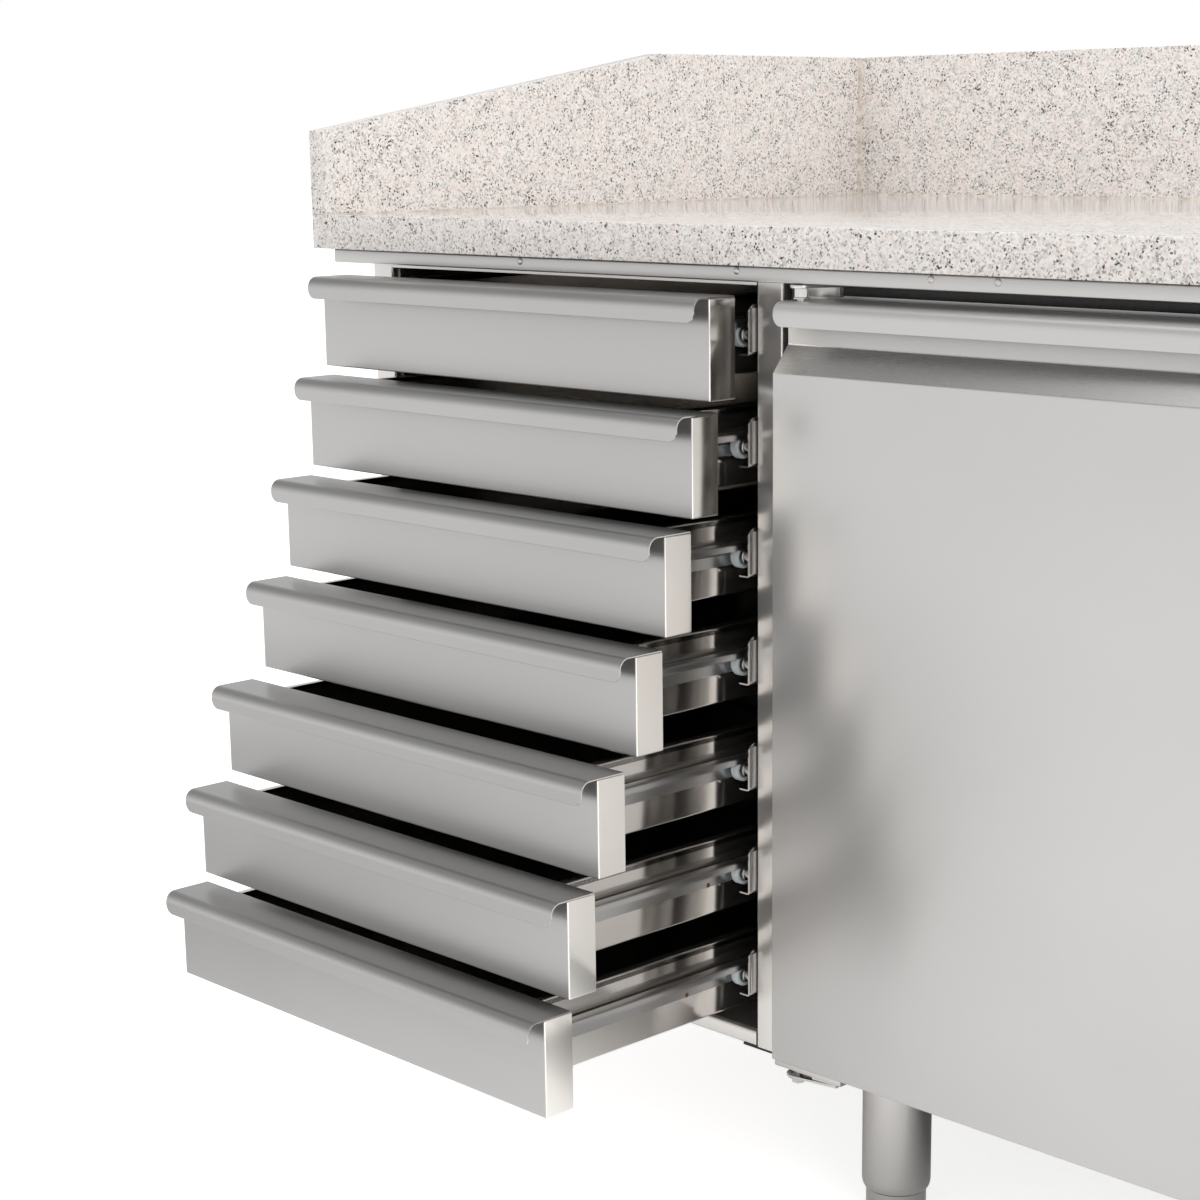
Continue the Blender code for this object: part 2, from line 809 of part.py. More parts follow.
def power_switch():
    """A rocker with its upper half pressed in, which tips about its own middle."""
    half_width, half_height = switch_width / 2, switch_height / 2
    clear = switch_depth * math.sin(switch_angle)
    front = -half_height * math.sin(switch_angle)
    outline = [
        (front, clear - half_height), (front, half_height - clear),
        (switch_depth, half_height - clear), (switch_depth, clear - half_height)]
    rocker = prism_x(outline, -half_width, half_width)
    rocker.rotation_euler = (-switch_angle, 0, 0)
    rocker.location = (cold_right - switch_from_edge, door_front, door_top - switch_from_top)
    finish(rocker, "power_switch", "black_plastic")


def condensing_unit():
    """Base plate, compressor, condenser coil and fan shroud, bolted up as one unit."""
    middle = (machine_left + machine_right) / 2
    floor = cabinet_bottom + carcass_sheet + touch
    front = cold_front + unit_front_gap
    deck = floor + unit_base_height
    base = box(
        (middle - unit_base_width / 2, front, floor),
        (middle + unit_base_width / 2, front + unit_base_depth, deck))
    coil = box(
        (middle - coil_width / 2, front, deck - weld_overlap),
        (middle + coil_width / 2, front + coil_depth, deck + coil_height))
    axis_height = deck + coil_height / 2
    shroud_start = front + coil_depth - weld_overlap
    shroud_end = front + coil_depth + shroud_depth

    def on_axis(y):
        return (middle, y, axis_height)

    shroud = cylinder(on_axis(shroud_start), on_axis(shroud_end), shroud_radius + shroud_wall, round_steps)
    bore_start = shroud_start + shroud_wall
    carved(shroud, cylinder(on_axis(bore_start), on_axis(shroud_end + overrun), shroud_radius, round_steps))
    motor_start = shroud_end + touch
    arm_low = (middle - motor_arm / 2, motor_start, deck - weld_overlap)
    arm = box(arm_low, (middle + motor_arm / 2, motor_start + motor_arm, axis_height))
    motor = cylinder(on_axis(motor_start), on_axis(motor_start + motor_depth), motor_radius)
    pot_y = front + unit_base_depth - compressor_radius - unit_base_height
    pot_top = deck + compressor_height
    dome = compressor_radius / 2
    profile = [(0, pot_top)]
    profile += [(radius, height) for radius, height in
                arc((compressor_radius - dome, pot_top - dome), dome, math.pi / 2, 0)]
    profile += [(compressor_radius, deck - weld_overlap), (0, deck - weld_overlap)]
    pot = turned(profile, round_steps, False)
    pot.location = (middle, pot_y, 0)
    joined(base, coil, shroud, arm, motor, pot)
    finish(base, "condensing_unit", "painted_iron")
    return Vector(on_axis(motor_start)), bore_start


def condenser_fan(motor_face, shroud_floor):
    """A five-bladed fan on the motor's shaft, inside the shroud."""
    room = motor_face.y - shroud_floor
    depth = min(fan_hub_depth, room - fan_tip_gap - touch)
    centre = Vector((motor_face.x, motor_face.y - touch - depth / 2, motor_face.z))
    hub = cylinder((0, -depth / 2, 0), (0, depth / 2, 0), fan_hub_radius)
    reach = shroud_radius - fan_tip_gap
    tip = math.sqrt(reach ** 2 - (fan_blade_width / 2) ** 2)
    for index in range(fan_blade_count):
        blade = box(
            (fan_hub_radius / 2, -fan_blade_thickness / 2, -fan_blade_width / 2),
            (tip, fan_blade_thickness / 2, fan_blade_width / 2))
        pitch = Matrix.Rotation(fan_blade_pitch, 4, "X")
        turn = Matrix.Rotation(2 * math.pi * index / fan_blade_count, 4, "Y")
        blade.data.transform(turn @ pitch)
        joined(hub, blade)
    hub.location = centre
    finish(hub, "condenser_fan", "black_plastic")


def leg_places():
    """The six legs, front row first, each row from left to right."""
    rows = (cold_front + leg_front_inset, carcass_back - leg_back_inset)
    columns = (module_left + leg_side_inset, cold_left + leg_side_inset, cold_right - leg_side_inset)
    return [(x, y) for y in rows for x in columns]


def legs():
    """Six tubular legs, each with a foot that screws up into it."""
    top = cabinet_bottom - touch
    low = foot_height + touch
    hole = foot_stem_radius + touch
    inner = leg_radius - leg_wall
    plug_top = low + leg_plug
    tube_profile = [(leg_radius, top)]
    shoulder = (leg_radius - leg_shoulder, low + leg_shoulder)
    tube_profile += arc(shoulder, leg_shoulder, 0, -math.pi / 2, shoulder_steps)
    tube_profile += [(hole, low), (hole, plug_top), (inner, plug_top), (inner, top)]
    foot_profile = [
        (0, foot_height + foot_stem_length), (foot_stem_radius, foot_height + foot_stem_length),
        (foot_stem_radius, foot_height), (foot_radius, foot_height), (foot_radius, foot_edge),
        (foot_radius - foot_edge, 0), (0, 0)]
    tube = finish(turned(tube_profile, round_steps, True), "leg_1", "brushed_steel")
    foot = finish(turned(foot_profile, round_steps, False), "foot_1", "polished_steel")
    for index, (x, y) in enumerate(leg_places()):
        for first, label in ((tube, "leg"), (foot, "foot")):
            piece = first if index == 0 else add_object(f"{label}_{index + 1}", first.data)
            piece.location = (x, y, 0)


for old in list(bpy.data.objects):
    bpy.data.objects.remove(old)
parts = new_collection("pizza_prep_table")
materials = {name: make_material(name) for name in MATERIALS}

worktop_slab()
back_upstand()
side_upstand("left_upstand", worktop_left, worktop_left + upstand_thickness)
side_upstand("right_upstand", worktop_right - upstand_thickness, worktop_right)
worktop_support()
drawer_cabinet()
runner_panel("runner_panel_left", -1)
runner_panel("runner_panel_right", 1)
drawers()
rollers()
shelf(cold_cabinet())
evaporator_cover()
door()
door_hinges()
louvre_panel()
power_switch()
condenser_fan(*condensing_unit())
legs()
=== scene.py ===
"""Looks for the pizza prep table, built round its fixed frame. Metres, +Z up, front to -Y."""
from math import atan2, cos, pi, radians, sin, sqrt, tan

import bmesh
import bpy
from mathutils import Matrix, Vector


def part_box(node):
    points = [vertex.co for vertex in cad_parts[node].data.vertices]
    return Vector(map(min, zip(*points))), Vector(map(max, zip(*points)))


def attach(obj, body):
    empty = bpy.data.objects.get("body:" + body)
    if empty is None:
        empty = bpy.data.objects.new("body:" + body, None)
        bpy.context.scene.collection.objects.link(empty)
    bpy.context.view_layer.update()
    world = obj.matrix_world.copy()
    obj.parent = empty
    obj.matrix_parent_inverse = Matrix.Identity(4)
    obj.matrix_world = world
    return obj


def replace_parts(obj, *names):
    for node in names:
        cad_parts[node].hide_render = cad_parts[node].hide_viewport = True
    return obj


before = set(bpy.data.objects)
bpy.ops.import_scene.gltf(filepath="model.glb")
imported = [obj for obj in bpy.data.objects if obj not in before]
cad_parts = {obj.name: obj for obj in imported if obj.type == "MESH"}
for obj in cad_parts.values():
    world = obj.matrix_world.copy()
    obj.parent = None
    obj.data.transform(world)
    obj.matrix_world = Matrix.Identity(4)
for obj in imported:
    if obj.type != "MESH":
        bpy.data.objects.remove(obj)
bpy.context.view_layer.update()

MM = 0.001
QUARTER = pi / 2
DRAWERS = range(1, 8)
FACING = 0.75       # a face looks along an axis when its normal's share of it is above this


def configure(thing, **settings):
    for key, value in settings.items():
        setattr(thing, key, value)
    return thing


# Materials
class Nodes:
    """Shorthands for building a node tree."""

    def __init__(self, tree):
        self.tree = tree

    def feed(self, socket, value):
        if isinstance(value, bpy.types.NodeSocket):
            self.tree.links.new(value, socket)
        else:
            socket.default_value = value

    def node(self, kind, inputs=(), **settings):
        made = configure(self.tree.nodes.new("ShaderNode" + kind), **settings)
        for key, value in dict(inputs).items():
            self.feed(made.inputs[key], value)
        return made

    def math(self, operation, first, second):
        return self.node("Math", {0: first, 1: second}, operation=operation).outputs[0]

    def vector(self, operation, first, second, output="Vector"):
        return self.node("VectorMath", {0: first, 1: second}, operation=operation).outputs[output]

    def span(self, fac, low, high, from_low=0.0, from_high=1.0):
        ends = {"Value": fac, "From Min": from_low, "From Max": from_high, "To Min": low, "To Max": high}
        return self.node("MapRange", ends).outputs["Result"]


class Recipe(Nodes):
    """A node material with one principled shader."""

    def __init__(self, name, **sockets):
        self.material = configure(bpy.data.materials.new(name), use_nodes=True)
        super().__init__(self.material.node_tree)
        self.shader = self.tree.nodes["Principled BSDF"]
        for socket, value in sockets.items():
            self.set(socket.replace("_", " "), value)

    def set(self, socket, value):
        self.feed(self.shader.inputs[socket], value)

    def place(self, stretch=(1, 1, 1)):
        """Object coordinates in metres, stretched along an axis."""
        where = self.node("TexCoord").outputs["Object"]
        return self.node("Mapping", {"Vector": where, "Scale": stretch}).outputs["Vector"]

    def noise(self, scale, stretch=(1, 1, 1), detail=2.0, roughness=0.5):
        return self.node("TexNoise", {
            "Vector": self.place(stretch), "Scale": scale, "Detail": detail, "Roughness": roughness}).outputs["Fac"]

    def ramp(self, fac, stops, constant=False):
        made = self.node("ValToRGB", {"Fac": fac})
        elements = made.color_ramp.elements
        made.color_ramp.interpolation = "CONSTANT" if constant else "LINEAR"
        while len(elements) < len(stops):
            elements.new(0.5)
        for element, (position, colour) in zip(elements, stops):
            configure(element, position=position, color=(*colour, 1))
        return made.outputs["Color"]

    def mix(self, fac, first, second):
        return self.node("Mix", {0: fac, 6: first, 7: second}, data_type="RGBA").outputs[2]

    def bump(self, height, strength, distance):
        self.set("Normal", self.node("Bump", {
            "Height": height, "Strength": strength, "Distance": distance}).outputs["Normal"])


def grey(level, warm):
    """A near neutral colour; warm lifts the red and lowers the blue."""
    return (level * (1 + warm), level, level * (1 - warm))


def steel(name, level, roughness, grain, anisotropy, warm, haze=0.0, wave=0.0):
    """Rolled or brushed stainless steel whose grain runs along one axis on its walls.

    haze is the share of light that its scratches scatter all ways, and wave is how far a polished
    sheet buckles, in millimetres.
    """
    recipe = Recipe(name, Metallic=1.0 - haze, Anisotropic=anisotropy)
    long = {"x": (1, 60, 60), "y": (60, 1, 60), "z": (60, 60, 1)}[grain]
    fine = recipe.noise(90, long, detail=4, roughness=0.6)
    broad = recipe.noise(3.5, (1, 1, 1.6), detail=2)
    smear = 0.03
    recipe.set("Base Color", recipe.ramp(broad, [
        (0.30, grey(level * (1 - smear), warm)), (0.70, grey(level * (1 + smear), warm))]))
    worn = recipe.math("ADD", fine, broad)
    recipe.set("Roughness", recipe.span(worn, roughness * 0.92, roughness * 1.08, 0.7, 1.3))
    across = {"x": (0, 0.05, 1), "y": (0.05, 0, 1), "z": (1, 1, 0)}[grain]
    recipe.set("Tangent", recipe.node("CombineXYZ", dict(zip("XYZ", across))).outputs["Vector"])
    if wave:
        recipe.bump(recipe.noise(7, (1, 1, 0.4), detail=1), 0.5, wave * MM)
    else:
        recipe.bump(fine, 0.006, 0.0002)
    return recipe.material


def granite():
    """Pale pink and grey granite: soft patches, milky, pink and grey grains, and dark mica specks."""
    recipe = Recipe("granite", Specular_IOR_Level=0.40)
    warp = recipe.node("TexNoise", {"Vector": recipe.place(), "Scale": 420.0, "Detail": 2.0}).outputs["Color"]
    moved = recipe.vector("SUBTRACT", warp, (0.5, 0.5, 0.5))
    moved = recipe.node("VectorMath", {0: moved, 3: 0.0022}, operation="SCALE").outputs[0]
    where = recipe.vector("ADD", recipe.place(), moved)

    def grains(scale):
        cells = recipe.node("TexVoronoi", {"Vector": where, "Scale": scale})
        return recipe.node("SeparateColor", {"Color": cells.outputs["Color"]}).outputs[0]

    patches = recipe.ramp(recipe.noise(120, detail=3), [
        (0.34, (0.79, 0.68, 0.64)), (0.46, (0.82, 0.76, 0.73)), (0.56, (0.76, 0.74, 0.73)),
        (0.68, (0.57, 0.55, 0.53))])
    small = recipe.ramp(grains(520), [
        (0.00, (0.93, 0.90, 0.87)), (0.30, (0.83, 0.80, 0.77)), (0.52, (0.76, 0.68, 0.64)),
        (0.70, (0.66, 0.64, 0.62)), (0.86, (0.46, 0.45, 0.45))], True)
    colour = recipe.mix(0.58, patches, small)
    cluster = recipe.span(recipe.noise(60, detail=2), -0.05, 0.05, 0.35, 0.65)

    def scattered(scale, above):
        share = recipe.math("ADD", grains(scale), cluster)
        return recipe.ramp(share, [(0.0, (0, 0, 0)), (above, (1, 1, 1))], True)

    colour = recipe.mix(scattered(640, 0.905), colour, (0.36, 0.33, 0.32, 1))
    colour = recipe.mix(scattered(600, 0.970), colour, (0.070, 0.060, 0.056, 1))
    recipe.set("Base Color", colour)
    recipe.set("Roughness", recipe.span(recipe.noise(300, detail=3), 0.03, 0.11))
    recipe.bump(recipe.noise(45, detail=2), 0.015, 0.0004)
    return recipe.material


def plain(name, low, high, roughness, scale, metallic=0.0):
    """A smooth or moulded surface with a little mottling."""
    recipe = Recipe(name, Metallic=metallic)
    fine = recipe.noise(scale, detail=4, roughness=0.6)
    recipe.set("Base Color", recipe.ramp(fine, [(0.35, low), (0.65, high)]))
    recipe.set("Roughness", recipe.span(recipe.noise(scale * 3), roughness * 0.85, roughness * 1.15))
    recipe.bump(fine, 0.02, 0.0003)
    return recipe.material


LOOKS = {name: steel(name, *values) for name, values in {
    "front_steel": (0.47, 0.30, "x", 0.6, 0.010, 0.06),
    "return_steel": (0.97, 0.14, "z", 0.4, 0.05, 0.01),
    "door_steel": (0.575, 0.31, "x", 0.6, 0.014, 0.42),
    # A darker, less hazy copy of the door's steel for the slope under the grip: painted shade, as the slope reflects
    # the grip's shaded underside.
    "shaded_slope_steel": (0.51, 0.28, "x", 0.5, 0.014, 0.10),
    "hinge_steel": (0.74, 0.28, "x", 0.3, 0.02, 0.35),
    "side_steel": (0.68, 0.12, "y", 0.5, 0.05, 0.02, 0.18),
    "post_steel": (0.75, 0.23, "z", 0.4, 0.03, 0.30),
    "strip_steel": (0.52, 0.30, "x", 0.5, 0.02),
    "panel_steel": (0.52, 0.30, "z", 0.6, 0.02),
    "leg_steel": (0.50, 0.12, "z", 0.4, 0.025),
    "bright_steel": (0.78, 0.13, "x", 0.2, 0.01),
    "rack_steel": (0.50, 0.24, "z", 0.4, 0.03),
    "rail_steel": (0.58, 0.34, "y", 0.5, 0.01),
}.items()}
LOOKS["granite"] = granite()
LOOKS.update({name: plain(name, *values) for name, values in {
    "sealant": ((0.46, 0.39, 0.32), (0.76, 0.70, 0.64), 0.5, 130),
    "nylon": ((0.68, 0.76, 0.80), (0.76, 0.83, 0.86), 0.38, 150),
    "rubber": ((0.020, 0.020, 0.022), (0.034, 0.034, 0.036), 0.62, 180),
    "black_plastic": ((0.018, 0.018, 0.019), (0.030, 0.030, 0.031), 0.42, 240),
    "liner": ((0.74, 0.75, 0.75), (0.80, 0.81, 0.81), 0.30, 30),
    "iron": ((0.012, 0.012, 0.013), (0.022, 0.022, 0.024), 0.34, 90),
    "wire": ((0.70, 0.71, 0.73), (0.78, 0.79, 0.81), 0.32, 120),
    "fins": ((0.60, 0.61, 0.62), (0.72, 0.73, 0.74), 0.35, 90, 1.0),
    "copper": ((0.72, 0.36, 0.22), (0.84, 0.46, 0.30), 0.26, 60, 1.0),
    "weld": ((0.13, 0.07, 0.035), (0.24, 0.13, 0.07), 0.42, 600, 0.6),
}.items()})
SLOTS = {name: "brushed_steel" for name in LOOKS}
SLOTS.update({
    "bright_steel": "polished_steel", "granite": "granite", "sealant": "granite", "nylon": "nylon",
    "rubber": "gasket_rubber", "black_plastic": "black_plastic", "liner": "white_liner",
    "iron": "painted_iron", "wire": "coated_wire", "fins": "polished_steel", "copper": "polished_steel"})


# Points and outlines
def mm(*points):
    """Points that are written in millimetres."""
    return [tuple(value * MM for value in point) for point in points]


def at(base, *steps):
    """A place some millimetres from another."""
    return tuple(start + step * MM for start, step in zip(base, steps + (0, 0, 0)))


def spread(start, end, count):
    """Evenly spaced numbers."""
    return [start + (end - start) * k / (count - 1) for k in range(count)]


def corners(low, high):
    """The four corners of a rectangle, in turn."""
    return [(low[0], low[1]), (high[0], low[1]), (high[0], high[1]), (low[0], high[1])]


def arc(centre, radius, start, end, steps=10):
    """Points of an arc whose ends are given in quarter turns."""
    angles = [QUARTER * turn for turn in spread(start, end, steps + 1)]
    return [(centre[0] + radius * cos(angle), centre[1] + radius * sin(angle)) for angle in angles]


def rounded(points, radius, steps=4):
    """Round the corners of an open outline, by one radius in millimetres or one for each corner."""
    points = [Vector(point) for point in points]
    path = points[:1]
    bends = list(zip(points, points[1:], points[2:]))
    radii = radius if isinstance(radius, list) else [radius] * len(bends)
    for (before, corner, after), size in zip(bends, radii):
        back, on = (before - corner).normalized(), (after - corner).normalized()
        size = size * MM
        half = back.angle(on) / 2
        centre = corner + (back + on).normalized() * size / sin(half)
        first = corner + back * size / tan(half) - centre
        last = corner + on * size / tan(half) - centre
        turn = atan2(first.x * last.y - first.y * last.x, first.dot(last))
        count = max(2, round(steps * abs(turn) / QUARTER))
        for step in range(count + 1):
            path.append(centre + Matrix.Rotation(turn * step / count, 2) @ first)
    return path + points[-1:]


def offset(path, distance):
    """The path moved sideways by a distance, to its left."""
    normals = [(end - start).normalized().orthogonal() for start, end in zip(path, path[1:])]
    moved = []
    for point, before, after in zip(path, normals[:1] + normals, normals + normals[-1:]):
        normal = (before + after) / 2
        moved.append(point + normal * distance / max(normal.length_squared, 0.25))
    return moved


# Meshes
def add_object(name, data):
    made = bpy.data.objects.new(name, data)
    bpy.context.scene.collection.objects.link(made)
    return made


def to_mesh(shape, name="work"):
    mesh = bpy.data.meshes.new(name)
    shape.to_mesh(mesh)
    shape.free()
    return mesh


def solid(name, shape, look, sharp=38, body="table", sides=None):
    """Turn a mesh under construction into a shaded piece that rides on a body.

    sides is a second look, for the faces that look along X.
    """
    bmesh.ops.recalc_face_normals(shape, faces=shape.faces)
    mesh = to_mesh(shape, name)
    mesh.materials.append(LOOKS[look])
    if sides:
        mesh.materials.append(LOOKS[sides])
        for face in mesh.polygons:
            face.material_index = int(abs(face.normal.x) > FACING)
    mesh.shade_smooth()
    mesh.set_sharp_from_angle(angle=radians(sharp))
    piece = add_object(name, mesh)
    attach(piece, body)
    return piece


def bevel(shape, edges, width, segments):
    """Round edges by a width in millimetres."""
    bmesh.ops.bevel(shape, geom=edges, offset=width * MM, segments=segments, profile=0.5, affect="EDGES",
                    clamp_overlap=True)


def soften(shape, width, segments=2, angle=50):
    """Round the edges that are sharper than an angle by a width in millimetres."""
    bevel(shape, [edge for edge in shape.edges
                  if len(edge.link_faces) == 2 and edge.calc_face_angle() > radians(angle)], width, segments)


def move(shape, matrix):
    bmesh.ops.transform(shape, matrix=matrix, verts=shape.verts)


def merge(shape, other):
    """Add one mesh to another, and free the added one."""
    held = to_mesh(other)
    shape.from_mesh(held)
    bpy.data.meshes.remove(held)


def close(shape, made, edge=0.0, segments=1, angle=60):
    """Turn a new mesh's faces outward, round its sharp edges and add it to the shape."""
    bmesh.ops.recalc_face_normals(made, faces=made.faces)
    if edge:
        soften(made, edge, segments, angle)
    merge(shape, made)


def bridge(mesh, first, second):
    """Add the faces between two rings of points."""
    for k in range(len(first)):
        after = (k + 1) % len(first)
        mesh.faces.new((first[k], first[after], second[after], second[k]))


def cube(low, high):
    made = bmesh.new()
    bmesh.ops.create_cube(made, size=1)
    low, high = Vector(low), Vector(high)
    move(made, Matrix.Translation((low + high) / 2) @ Matrix.Diagonal((*(high - low), 1)))
    return made


def add_block(shape, low, high, width=0.0, segments=2):
    """Add a box with rounded edges."""
    block = cube(low, high)
    if width:
        soften(block, width, segments)
    merge(shape, block)


AXES = {"x": lambda u, v, w: (w, u, v), "y": lambda u, v, w: (u, w, v), "z": lambda u, v, w: (u, v, w)}


def add_sheet(shape, path, thickness, axis, ends, edge=0.2, inset=None):
    """Add a folded sheet: its section is a path, thickened to the path's left and run along an axis.

    ends are the two distances along the axis, and inset gives for a point of the path how far each
    end draws in there.
    """
    sheet = bmesh.new()
    rows = []
    for outer, inner in zip(path, offset(path, thickness)):
        draw = inset(outer) if inset else (0, 0)
        start, end = ends[0] + draw[0], ends[1] - draw[1]
        rows.append([sheet.verts.new(AXES[axis](*point, reach))
                     for point, reach in ((outer, start), (outer, end), (inner, end), (inner, start))])
    for first, second in zip(rows, rows[1:]):
        bridge(sheet, first, second)
    sheet.faces.new(rows[0])
    sheet.faces.new(rows[-1][::-1])
    close(shape, sheet, edge)


def add_prism(shape, outline, axis, ends, edge=0.0, segments=2):
    """Add a solid with a flat outline, run between two distances along an axis."""
    block = bmesh.new()
    low, high = ([block.verts.new(AXES[axis](*point, end)) for point in outline] for end in ends)
    block.faces.new(low)
    block.faces.new(high[::-1])
    bridge(block, high, low)
    close(shape, block, edge, segments, 50)


def evaluated(data, modifier=None, **settings):
    """What a mesh or curve gives with one modifier, as a mesh under construction."""
    work = add_object("work", data)
    if modifier:
        configure(work.modifiers.new("work", modifier), **settings)
    bpy.context.view_layer.update()
    mesh = bpy.data.meshes.new_from_object(work.evaluated_get(bpy.context.evaluated_depsgraph_get()))
    bpy.data.objects.remove(work)
    result = bmesh.new()
    result.from_mesh(mesh)
    bpy.data.meshes.remove(mesh)
    return result


def add_pan(shape, low, high, side, radius, thickness, segments=4):
    """Add a folded pan: a box with rounded bends, open on one side and made of sheet."""
    pan = cube(low, high)
    rim = [face for face in pan.faces if face.normal.dot(Vector(side)) > 0.9][0]
    held = set(rim.edges)
    bmesh.ops.delete(pan, geom=[rim], context="FACES_ONLY")
    bevel(pan, [edge for edge in pan.edges if edge not in held], radius, segments)
    pan.normal_update()
    result = evaluated(to_mesh(pan), "SOLIDIFY", thickness=thickness, offset=-1, use_even_offset=True)
    soften(result, 0.2, 1, 70)
    merge(shape, result)


def add_frame(shape, low, high, profile, closed=False, capped=False):
    """Add a mitred frame in the XZ plane; its profile is (inset, y) points from the outside in."""
    made = bmesh.new()
    loops = []
    for inset, y in profile:
        loop = corners((low[0] + inset, low[1] + inset), (high[0] - inset, high[1] - inset))
        loops.append([made.verts.new((x, y, z)) for x, z in loop])
    for first, second in zip(loops, loops[1:] + loops[:int(closed)]):
        bridge(made, first, second)
    if capped:
        made.faces.new(loops[0])
        made.faces.new(loops[-1])
    close(shape, made)


def cut(shape, boxes):
    """Cut boxes out of a mesh, given by their corners."""
    tool = bmesh.new()
    for low, high in boxes:
        add_block(tool, low, high)
    cutter = add_object("tool", to_mesh(tool))
    result = evaluated(to_mesh(shape), "BOOLEAN", operation="DIFFERENCE", solver="EXACT", object=cutter)
    bpy.data.objects.remove(cutter)
    return result


def add_turned(shape, profile, centre, axis=(0, 0, 1), steps=48, closed=False):
    """Add a turned piece; its profile is (radius, height) points, closed or with its ends on the axis."""
    made = bmesh.new()
    rings = []
    for radius, height in profile:
        turns = [2 * pi * k / steps for k in range(steps)] if radius > 0 else [0]
        rings.append([made.verts.new((radius * cos(turn), radius * sin(turn), height)) for turn in turns])
    for first, second in zip(rings, rings[1:] + rings[:int(closed)]):
        for k in range(steps):
            face = [ring[place % len(ring)] for ring, place in (
                (first, k), (first, k + 1), (second, k + 1), (second, k))]
            made.faces.new(list(dict.fromkeys(face)))
    bmesh.ops.recalc_face_normals(made, faces=made.faces)
    turn = Vector((0, 0, 1)).rotation_difference(Vector(axis)).to_matrix().to_4x4()
    move(made, Matrix.Translation(centre) @ turn)
    merge(shape, made)


def add_dome(shape, centre, axis, radius, height, rim=0.0, steps=24):
    """Add the domed head of a screw or rivet, its sizes given in millimetres."""
    profile = [(radius * sin(angle), rim + (height - rim) * cos(angle)) for angle in spread(0, QUARTER, 5)]
    add_turned(shape, mm(*profile, (radius, 0), (0, 0)), centre, axis, steps)


def add_grids(shape, under, over):
    """Add a closed sheet between two grids of points."""
    made = bmesh.new()
    borders = []
    for layer in (under, over):
        grid = [[made.verts.new(point) for point in row] for row in layer]
        for first, second in zip(grid, grid[1:]):
            for k in range(len(first) - 1):
                made.faces.new((first[k], first[k + 1], second[k + 1], second[k]))
        first, last = ([row[k] for row in grid] for k in (0, -1))
        borders.append(grid[0][:-1] + last[:-1] + grid[-1][:0:-1] + first[:0:-1])
    bridge(made, *borders)
    close(shape, made)


# Places read from the frame
slab_low, slab_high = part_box("worktop_slab")
cabinet_low, cabinet_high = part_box("drawer_cabinet")
cold_low, cold_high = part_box("cold_cabinet")
door_low, door_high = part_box("door_skin")
SHEET = 1.2 * MM
TOUCH = 0.3 * MM
CARCASS = 1.5 * MM
POST = 29 * MM
POST_RETURN = 22 * MM
LIP = 18 * MM
LIP_DROP = 20 * MM
NOSE = 10 * MM
LIP_CORNER = 9 * MM
INSULATION = 45 * MM
HINGE_WALL = 59 * MM
UPPER_HINGE = (-0.1263, -0.0877)        # the X of each hinge's ends
LOWER_HINGE = (-0.1137, -0.0399)
SUPPORT_SCREWS = (-0.4278, -0.1648, 0.036, 0.0988, 0.355, 0.610)
WELDS = (0.028, 0.200, 0.372, 0.545)    # distances behind a tray's front
bay_wall = 0.365
bay_left, bay_right = cabinet_low.x + POST, cabinet_high.x - POST
bay_middle, bay_half = (bay_left + bay_right) / 2, (bay_right - bay_left) / 2


def inward(side, distance):
    """X of a place some millimetres inward from the left (-1) or right (1) side of the drawer bay."""
    return bay_middle + side * (bay_half - distance * MM)


def side_plate(shape, side, depth, height, width):
    """Add a plate along one side of the drawer bay."""
    ends = sorted((inward(side, 0.3), inward(side, 1.8)))
    add_block(shape, (ends[0], depth[0], height[0]), (ends[1], depth[1], height[1]), width)


# Granite top
def stone(name, outline, axis, ends, butt=None):
    """A slab or upstand with its free edges rounded; butt is the depth where its end meets another."""
    shape = bmesh.new()
    add_prism(shape, outline, axis, ends)
    low = min(vert.co.z for vert in shape.verts)

    def free(edge):
        if edge.calc_face_angle() < radians(50):
            return False
        at_base = all(vert.co.z < low + TOUCH for vert in edge.verts)
        at_butt = butt is not None and all(vert.co.y > butt - TOUCH for vert in edge.verts)
        return axis == "z" or not (at_base or at_butt)

    bevel(shape, [edge for edge in shape.edges if free(edge)], 0.8, 3)
    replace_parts(solid(name + "_stone", shape, "granite", 60), name)


def granite_top():
    stone("worktop_slab", corners(slab_low, slab_high), "z", (slab_low.z, slab_high.z))
    low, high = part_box("back_upstand")
    stone("back_upstand", corners(low.yz, high.yz), "x", (low.x, high.x))
    inner_back = low.y
    for name in ("left_upstand", "right_upstand"):
        low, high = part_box(name)
        stone(name, [(low.y, low.z), (high.y, low.z), (high.y, high.z), (low.y + 452 * MM, high.z),
                     (low.y, slab_high.z + 78 * MM)], "x", (low.x, high.x), high.y)
    beads = bmesh.new()
    top, bead, wide = slab_high.z, 0.9 * MM, 3.6 * MM
    left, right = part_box("left_upstand")[1].x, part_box("right_upstand")[0].x
    add_prism(beads, [(inner_back, top), (inner_back - bead, top), (inner_back, top + bead)], "x", (left, right))
    for x, toward in ((left, 1), (right, -1)):
        add_prism(beads, [(x, top), (x + toward * bead, top), (x, top + bead)], "y",
                  (slab_low.y + 3 * MM, inner_back))
        add_prism(beads, [(x, inner_back), (x + toward * wide, inner_back), (x, inner_back - wide)], "z",
                  (top, top + 153 * MM))
    for name in ("back_upstand", "left_upstand", "right_upstand"):
        low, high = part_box(name)
        add_block(beads, at((low.x, low.y, top), -0.12, -0.12, -0.5), at((high.x, high.y, top), 0.12, 0.12, 0.3))
    solid("granite_joints", beads, "sealant")


